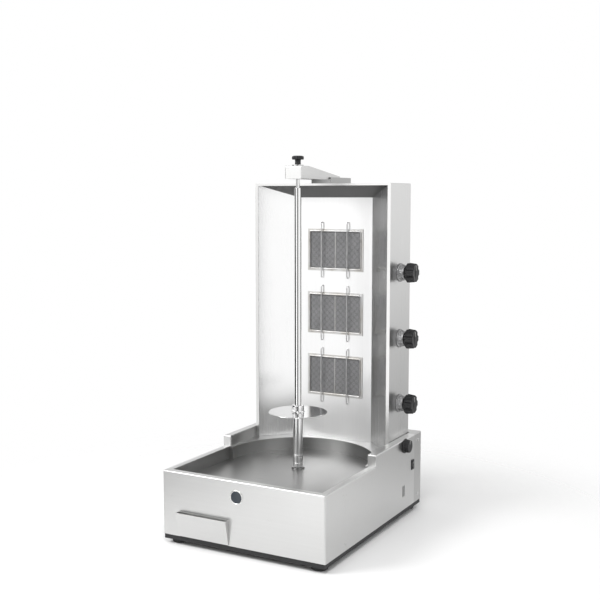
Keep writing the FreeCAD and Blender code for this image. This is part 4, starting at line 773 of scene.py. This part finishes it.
class GRILL_OT_spit(bpy.types.Operator):
    """Spit rod with its square end, spacer, meat disc with its hub and thumb screw, and drive socket"""
    bl_idname = "grill.spit"
    bl_label = "Spit"

    def execute(self, context):
        self.rod()
        self.spacer()
        self.disc()
        self.thumb_screw()
        self.socket()
        return {"FINISHED"}

    @staticmethod
    def rod():
        """Round bar whose lower end fades to a square, with a bore in its top."""
        low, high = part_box("spit_rod")
        foot, radius, length = upright(low, high)
        tenon, half = 16.0 * MM, 6.0 * MM
        bore, bore_end = 5.05 * MM, length - 45.0 * MM
        shoulder = tenon + 0.3 * MM
        profile = rounded([
            (0, 0), (half, 0), (half, shoulder), (radius, shoulder), (radius, length), (bore, length),
            (bore, bore_end), (0, bore_end)], 1.0 * MM, 5)

        def outline(reach, height, angle):
            return squared(angle, reach, (height < shoulder) * (reach <= half + 0.01 * MM) * (reach > 0))

        piece = make_piece(
            "spit_bar", [turned(profile, foot, "Z", 96, outline)], "polished steel", "spit", ["spit_rod"])

    @staticmethod
    def spacer():
        """Tube with soft ends and a shallow groove near each."""
        low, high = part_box("spit_spacer")
        foot, radius, length = upright(low, high)
        inner, groove, deep = 9.0 * MM, 6.0 * MM, 0.6 * MM
        profile = rounded([
            (inner, 0), (radius, 0), (radius, groove), (radius - deep, groove + deep),
            (radius, groove + 2 * deep), (radius, length - groove - 2 * deep),
            (radius - deep, length - groove - deep), (radius, length - groove),
            (radius, length), (inner, length), (inner, 0)], 0.8 * MM, 4)
        piece = make_piece(
            "spacer_tube", [turned(profile, foot, "Z", 72)], "satin steel", "spit", ["spit_spacer"])

    @staticmethod
    def disc():
        """Flat disc with a rolled edge, and a hub with a fillet at its foot."""
        low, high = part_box("meat_disc")
        foot, radius, height = upright(low, high)
        plate, hub, bore = 2.5 * MM, 16.0 * MM, 9.05 * MM
        roll, fillet = 1.2 * MM, 2 * MM
        profile = rounded([
            (bore, 0), (radius - roll, 0), (radius, plate * 0.5), (radius - roll, plate),
            (hub + fillet, plate), (hub, plate + fillet), (hub, height), (bore, height), (bore, 0)],
            0.9 * MM, 4)
        piece = make_piece(
            "meat_plate", [turned(profile, foot, "Z", 128)], "polished steel", "disc", ["meat_disc"])

    @staticmethod
    def thumb_screw():
        """Knurled thumb screw in the hub: fine flutes round its head."""
        low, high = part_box("disc_set_screw")
        centre, head, length = forward(low, high)
        thread, recess, start = 2.9 * MM, 0.8 * MM, length - 6.0 * MM
        profile = dense(rounded([
            (0, 0), (thread, 0), (thread, start), (head, start), (head, length), (head * 0.6, length),
            (head * 0.5, length - recess), (0, length - recess)], 0.5 * MM, 4), 0.8 * MM)

        def outline(reach, height, angle):
            return reach - flutes(angle, 24) * 0.35 * MM * smooth(head * 0.8, head * 0.95, reach)

        piece = make_piece(
            "thumb_screw", [turned(profile, centre, "-Y", 96, outline)], "turned steel", "disc",
            ["disc_set_screw"])

    @staticmethod
    def socket():
        """Round socket with a square seat in its top and a groove round its middle."""
        low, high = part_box("drive_socket")
        foot, radius, height = upright(low, high)
        seat, seat_end = 6.05 * MM, height - 17.0 * MM
        middle = height * 0.42
        profile = rounded([
            (0, 0), (radius, 0), (radius, middle - MM), (radius - 0.8 * MM, middle), (radius, middle + MM),
            (radius, height), (seat, height), (seat, seat_end), (0, seat_end)], 0.9 * MM, 4)

        def outline(reach, level, angle):
            return squared(angle, reach, (level > seat_end - MM) * (reach <= seat + 0.95 * MM) * (reach > 0))

        piece = make_piece(
            "spit_socket", [turned(profile, foot, "Z", 96, outline)], "turned steel", "drive",
            ["drive_socket"])


class GRILL_OT_release_pin(bpy.types.Operator):
    """Black cap on the release pin, with a fluted edge, and the collar that the pin runs in"""
    bl_idname = "grill.release_pin"
    bl_label = "Release pin"

    def execute(self, context):
        low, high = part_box("pin_knob")
        foot, radius, height = upright(low, high)
        neck, neck_height, pin, sides = 8.0 * MM, 13.0 * MM, 5.0 * MM, 120
        profile = dense(rounded([
            (pin, 0), (neck, 0), (neck * 0.92, neck_height * 0.6), (neck, neck_height), (radius, neck_height),
            (radius, height - 2 * MM), (radius * 0.72, height), (0, height - 0.6 * MM)],
            1.8 * MM, 6), 1.2 * MM)

        def outline(reach, level, angle):
            return reach - flutes(angle, 20, 2) * 0.5 * MM * smooth(radius * 0.86, radius * 0.97, reach)

        piece = make_piece(
            "pin_cap", [turned(profile, foot, "Z", sides, outline)], "moulded black", "pin",
            ["pin_knob"], marks=np.zeros(len(profile) * sides))
        return {"FINISHED"}


class GRILL_OT_small_controls(bpy.types.Operator):
    """Knurled selector knob, and the rocker in its bezel"""
    bl_idname = "grill.small_controls"
    bl_label = "Selector and rocker"

    def execute(self, context):
        low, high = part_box("selector_knob")
        centre = on_panel(low.x, "selector_knob")
        radius, length = (high.z - low.z) / 2, high.x - low.x
        profile = dense(rounded([
            (0, 0), (radius, 0), (radius, 2.4 * MM), (radius * 0.90, 3.4 * MM), (radius * 0.84, length),
            (radius * 0.3, length - 0.6 * MM), (0, length - 0.6 * MM)], 1.4 * MM, 6), 1.0 * MM)

        def outline(reach, height, angle):
            side = smooth(3.2 * MM, 4.2 * MM, height) * smooth(radius * 0.70, radius * 0.80, reach)
            return reach - flutes(angle, 18, 3) * side * 1.2 * MM

        points, closed = turned(profile, centre, "X", 144, outline)
        across, up = points[..., 1] - centre[1], points[..., 2] - centre[2]
        face = smooth(length - 1.2 * MM, length - 0.5 * MM, profile[:, 1:2])
        mark = face * smooth(0.9 * MM, 0.6 * MM, np.abs(across)) * smooth(0.25, 0.32, up / radius)
        piece = make_piece(
            "selector", [(points, closed)], "moulded black", "selector", ["selector_knob"], mark)
        self.rocker()
        return {"FINISHED"}

    @staticmethod
    def rocker():
        """Rocker: its face is a shallow V, x = v |z| + rounding, on a soft-edged plate."""
        low, high = (np.array(corner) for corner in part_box("rocker_button"))
        middle = (low + high) / 2
        half_y, half_z = (high[1] - low[1]) / 2, (high[2] - low[2]) / 2
        u = np.linspace(-1, 1, 25)[:, None]
        v = np.linspace(-1, 1, 49)[None, :]
        across, up = half_y * u + 0 * v, half_z * v + 0 * u
        top = high[0] - 1.5 * MM * (1 - np.sqrt(up ** 2 + (1.2 * MM) ** 2) / half_z)
        edge = smooth(1.0, 0.90, np.abs(u)) * smooth(1.0, 0.95, np.abs(v))
        face = np.stack([top - (1 - edge) * 1.2 * MM, middle[1] + across, middle[2] + up], -1)
        back = face.copy()
        back[..., 0] = low[0] + 3.0 * MM
        rim = [np.stack([face[k], back[k]]) for k in (0, -1)] + [
            np.stack([face[:, k], back[:, k]]) for k in (0, -1)]
        mark_height = half_z * 0.52
        ring = smooth(0.5, 0.25, np.abs(np.hypot(across / MM, (up - mark_height) / MM) - 2.0))
        bar = smooth(0.45, 0.3, np.abs(across) / MM) * smooth(2.2, 2.0, np.abs(up + mark_height) / MM)
        unmarked = back[..., 0].size + sum(side[..., 0].size for side in rim)
        marks = np.concatenate([(ring + bar).ravel(), np.zeros(unmarked)])
        piece = make_piece(
            "rocker_cap", [(face, False), (back, False)] + [(side, False) for side in rim],
            "moulded black", "rocker", ["rocker_button"], marks)


class GRILL_OT_badge(bpy.types.Operator):
    """Plain round badge: a domed enamel disc in a raised bright rim"""
    bl_idname = "grill.badge"
    bl_label = "Badge"

    def execute(self, context):
        low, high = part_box("badge")
        centre, radius, depth = forward(low, high)
        inner, sides = radius - 3.0 * MM, 96
        profile = dense(rounded([
            (0, 0), (radius, 0), (radius, depth * 0.6), (radius - 1.0 * MM, depth),
            (radius - 2.2 * MM, depth), (inner, depth * 0.55), (radius * 0.4, depth * 0.85),
            (0, depth * 0.92)], 0.6 * MM, 4), 1.0 * MM)
        rim = smooth(inner, radius - 2.6 * MM, profile[:, 0]) * (profile[:, 1] > 0)
        piece = make_piece(
            "front_badge", [turned(profile, centre, "-Y", sides)], "badge enamel", "grill", ["badge"],
            np.repeat(rim, sides))
        return {"FINISHED"}


# How far a screw's head stands over the panel.
SCREW_RISE = 2.6 * MM


class GRILL_OT_screws(bpy.types.Operator):
    """Pan-head screws with a cross recess"""
    bl_idname = "grill.screws"
    bl_label = "Casing screws"

    def execute(self, context):
        head, recess, width = 4.4 * MM, 1.5 * MM, 0.55 * MM
        share = np.concatenate([np.linspace(0, 0.62, 12), np.linspace(0.68, 1.0, 8)])
        fall = 0.35 * share ** 2.5 + 0.65 * smooth(0.86, 1.0, share)
        dome = np.stack([head * share, SCREW_RISE * (1 - fall)], -1)
        grids = []
        for place, facing in screw_places():
            points, closed = turned(dome, place, facing, 48)
            across, up, along = BASES[facing]
            reach_x, reach_y = np.abs((points - place) @ across), np.abs((points - place) @ up)
            cross = np.maximum(*(
                smooth(width, width * 0.6, thin) * smooth(2.3 * MM, 1.9 * MM, wide)
                for thin, wide in ((reach_x, reach_y), (reach_y, reach_x))))
            points = points - (cross * recess)[..., None] * along
            foot = np.stack([points[-1], np.broadcast_to(place, points[-1].shape)])
            grids += [(points, closed), (foot, True)]
        piece = make_piece("screws", grids, "turned steel", "grill", ["casing_screws"])
        return {"FINISHED"}


def screw_places():
    """Where the screws stand, from the loose parts of their CAD node: (place on the panel, facing)."""
    mesh = bmesh.new()
    mesh.from_mesh(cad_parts["casing_screws"].data)
    bmesh.ops.remove_doubles(mesh, verts=mesh.verts, dist=WELD)
    places, left = [], set(mesh.verts)
    while left:
        group, edge = set(), [left.pop()]
        while edge:
            vertex = edge.pop()
            group.add(vertex)
            fresh = {link.other_vert(vertex) for link in vertex.link_edges} & left
            left -= fresh
            edge.extend(fresh)
        spots = np.array([vertex.co for vertex in group])
        low, high = spots.min(0), spots.max(0)
        axis = int(np.argmax(high - low))
        outward = 1 if (axis == 1 or (low + high)[0] > 0) else -1
        facing = {(0, 1): "X", (0, -1): "-X", (1, 1): "Y"}[(axis, outward)]
        place = (low + high) / 2
        place[axis] = high[axis] - SCREW_RISE if outward > 0 else low[axis] + SCREW_RISE
        places.append((place, facing))
    mesh.free()
    return sorted(places, key=lambda item: tuple(item[0]))


class GRILL_OT_feet(bpy.types.Operator):
    """Rubber feet with a rounded tread and two grooves"""
    bl_idname = "grill.feet"
    bl_label = "Feet"

    def execute(self, context):
        low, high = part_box("rubber_feet")
        height, radius = high.z - low.z, 20.0 * MM
        profile = dense(rounded([
            (0, 0.6 * MM), (radius * 0.55, 0.6 * MM), (radius * 0.62, 0), (radius - 2 * MM, 0),
            (radius, 2 * MM), (radius, height * 0.42), (radius - MM, height * 0.5),
            (radius, height * 0.58), (radius - 1.5 * MM, height), (0, height)], 1.0 * MM, 4), 2.5 * MM)
        grids = [
            turned(profile, (x, y, low.z), "Z", 64)
            for x in (low.x + radius, high.x - radius) for y in (low.y + radius, high.y - radius)
        ]
        piece = make_piece("feet", grids, "black rubber", "grill", ["rubber_feet"])
        return {"FINISHED"}


class GRILL_OT_rear_fittings(bpy.types.Operator):
    """Threaded gas inlet with its nut, and the cable gland with its cap nut"""
    bl_idname = "grill.rear_fittings"
    bl_label = "Gas inlet and gland"

    def execute(self, context):
        self.inlet()
        self.gland()
        return {"FINISHED"}

    @staticmethod
    def inlet():
        """Male thread: a helix cuts the radius by depth · 2 |frac(height / pitch - angle / turn) - 1/2|."""
        low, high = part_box("gas_inlet")
        centre = centre_of("gas_inlet")
        radius, bore = 10.5 * MM, 7.5 * MM
        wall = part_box("tower_casing")[1].y
        place = (centre[0], wall, centre[2])
        length, start, nut, nut_radius = high.y - wall, low.y - wall, 5.0 * MM, 17 * MM
        pitch, deep = 1.8 * MM, 0.9 * MM
        profile = dense(np.array([
            (bore, start), (radius, start), (radius, length - MM), (radius - 1.2 * MM, length),
            (bore, length), (bore, start)]), 0.3 * MM)

        def outline(reach, height, angle):
            wave = np.abs((height / pitch - angle / TURN) % 1 - 0.5) * 2
            cut = smooth(nut, nut + 2 * MM, height) * smooth(length, length - 3 * MM, height)
            return reach - wave * deep * cut * smooth(radius - 1.3 * MM, radius - 0.9 * MM, reach)

        def nut_outline(reach, height, angle):
            return np.minimum(reach, hexagonal(angle, 29 * MM, 16.4 * MM))

        collar = rounded([
            (bore, 0), (nut_radius, 0), (nut_radius, nut), (radius, nut + 0.01 * MM), (bore, nut),
            (bore, 0)], 0.6 * MM, 4)
        grids = [turned(profile, place, "Y", 72, outline), turned(collar, place, "Y", 120, nut_outline)]
        piece = make_piece("gas_union", grids, "brass", "grill", ["gas_inlet"], sharp=30.0)

    @staticmethod
    def gland():
        """Hexagonal foot and a fluted cap nut round the cable's hole."""
        low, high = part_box("cable_gland")
        centre = centre_of("cable_gland")
        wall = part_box("rear_cover")[1].y
        place = (centre[0], wall, centre[2])
        start, length, bore = low.y - wall, high.y - wall, 4.0 * MM
        foot, flange, shank = 12 * MM, 6 * MM, 7.8 * MM
        profile = dense(rounded([
            (bore, start), (shank, start), (shank, 0), (foot, 0), (foot, flange),
            (9.4 * MM, flange + 0.6 * MM), (9.2 * MM, length - 5 * MM), (7 * MM, length),
            (bore, length), (bore, start)], 0.8 * MM, 4), 1.2 * MM)

        def outline(reach, height, angle):
            hexed = np.minimum(reach, hexagonal(angle, 21.6 * MM, foot))
            cap = smooth(flange + MM, flange + 2 * MM, height) * smooth(7.5 * MM, 8.5 * MM, reach)
            return np.where(reach > 9.6 * MM, hexed, reach - flutes(angle, 16, 2) * 0.5 * MM * cap)

        piece = make_piece(
            "cable_entry", [turned(profile, place, "Y", 96, outline)], "nylon black", "grill",
            ["cable_gland"])


class GRILL_OT_studio(bpy.types.Operator):
    """Pale floor that fades into the backdrop, soft lights and the camera"""
    bl_idname = "grill.studio"
    bl_label = "Studio"

    def execute(self, context):
        studio = context.scene.grill_studio
        self.floor(studio)
        self.backdrop(context.scene)
        self.lights()
        self.camera(context.scene, studio)
        return {"FINISHED"}

    @staticmethod
    def floor(studio):
        """A wide round floor: rings of points, radius times (cos, sin). It is clear from `gone` outwards."""
        rings, sides = np.array([(0.0, 0.0), (1.0, 0.0), (3.0, 0.0), (9.0, 0.0)]), 96
        full, gone = 0.38, 1.15
        points, _ = turned(rings, (0, 0, 0), "Z", sides)
        mesh = bpy.data.meshes.new("floor")
        mesh.from_pydata(points.reshape(-1, 3).tolist(), [], quads(len(rings), sides, True).tolist())
        floor = placed("floor", mesh)
        finish = Finish("pale floor", roughness=0.55, specular_ior_level=0.3)
        x, y, _ = finish.axes()
        reach = (x * x + y * y) ** 0.5
        finish.shader.inputs["Base Color"].default_value = (*studio.floor, 1.0)
        clear = finish.add("ShaderNodeBsdfTransparent", {}, {})
        blend = finish.add("ShaderNodeMixShader", {}, {0: reach.ramp(full, gone), 2: clear})
        finish.links.new(finish.shader.outputs[0], blend.socket.node.inputs[1])
        finish.links.new(blend.socket, finish.nodes["Material Output"].inputs["Surface"])
        mesh.materials.append(finish.material)

    @staticmethod
    def backdrop(scene):
        """White backdrop, in a room whose brighter and darker areas give steel its look.

        Each area is a turn from the front towards the knobs, a rise, the angles where it is full and where
        it has faded out, and how much brighter or darker it is.
        """
        room = Room(scene)
        areas = (
            (25, 0, 14, 37, -0.88), (-14, 2, 13, 27, 0.70), (60, 5, 16, 32, 0.70),
            (-72, 0, 18, 36, -0.70), (-22, -18, 7, 15, 0.60), (-50, -18, 11, 21, -0.75),
            (168, -18, 9, 19, -0.80), (156, 2, 10, 18, 0.22), (0, 90, 30, 70, -0.30))
        bright = sum((room.area(*area) for area in areas[1:]), room.area(*areas[0])) + 1.0
        seen = room.add("ShaderNodeLightPath", {}, {}, "Is Camera Ray")
        bright = bright + seen * (1.0 - bright)
        back = room.nodes["Background"]
        back.inputs["Color"].default_value = (1.0, 1.0, 1.0, 1.0)
        room.links.new(bright.socket, back.inputs["Strength"])

    @staticmethod
    def lights():
        """Soft lamps: a large key over the front left, a weak rim at the right, one over the floor in front.

        Each is a name, a place, what it aims at, a size and a power in watts.
        """
        lamps = (
            ("key", (-2.0, -2.2, 2.6), (0, 0, 0.3), 1.5, 78.0),
            ("rim", (2.8, -0.6, 1.8), (0, 0, 0.4), 1.8, 2.0),
            ("front", (0.45, -1.0, 1.7), (0.25, -0.8, 0.0), 0.5, 11.0))
        for name, place, aim, size, power in lamps:
            data = bpy.data.lights.new(name, "AREA")
            data.shape, data.size, data.energy = "SQUARE", size, power
            lamp = placed(name, data)
            lamp.location = place
            lamp.rotation_euler = (Vector(aim) - Vector(place)).to_track_quat("-Z", "Y").to_euler()

    @staticmethod
    def camera(scene, studio):
        """Camera in front, turned towards the knob side and dipped a little."""
        data = bpy.data.cameras.new("camera")
        data.lens, data.sensor_width = studio.lens, 36.0
        camera = placed("camera", data)
        aside = 0.00205
        sine, cosine = math.sin(studio.turn), math.cos(studio.turn)
        camera.location = (
            sine * studio.distance + cosine * aside, -cosine * studio.distance + sine * aside, studio.height)
        camera.rotation_euler = (math.pi / 2 - studio.dip, 0, studio.turn)
        scene.camera = camera
        scene.view_settings.view_transform = "Standard"


OPERATORS = (
    GRILL_OT_finishes, GRILL_OT_burner_knobs, GRILL_OT_escutcheons, GRILL_OT_burner_tiles, GRILL_OT_spit,
    GRILL_OT_release_pin, GRILL_OT_small_controls, GRILL_OT_badge, GRILL_OT_screws, GRILL_OT_feet,
    GRILL_OT_rear_fittings, GRILL_OT_studio,
)
GROUPS = {
    "grill_sheets": SheetSettings, "grill_knobs": KnobSettings, "grill_burners": BurnerSettings,
    "grill_studio": StudioSettings,
}


class GRILL_PT_panel(bpy.types.Panel):
    """The grill's pieces and their sizes"""
    bl_idname = "GRILL_PT_panel"
    bl_label = "Kebab grill"
    bl_space_type = "VIEW_3D"
    bl_region_type = "UI"
    bl_category = "Grill"

    def draw(self, context):
        for name, group in GROUPS.items():
            column = self.layout.column(heading=group.__doc__)
            for setting in group.__annotations__:
                column.prop(getattr(context.scene, name), setting)
        for operator in OPERATORS:
            self.layout.operator(operator.bl_idname)


def register():
    """Register the settings, the operators and the panel."""
    for cls in (*GROUPS.values(), *OPERATORS, GRILL_PT_panel):
        bpy.utils.register_class(cls)
    for name, group in GROUPS.items():
        setattr(bpy.types.Scene, name, PointerProperty(type=group))


def unregister():
    """Take them away again."""
    for name in GROUPS:
        delattr(bpy.types.Scene, name)
    for cls in reversed((*GROUPS.values(), *OPERATORS, GRILL_PT_panel)):
        bpy.utils.unregister_class(cls)


def main():
    """Build everything in order, and write the two boxes."""
    register()
    for operator in OPERATORS:
        group, call = operator.bl_idname.split(".")
        getattr(getattr(bpy.ops, group), call)()


if __name__ == "__main__":
    main()
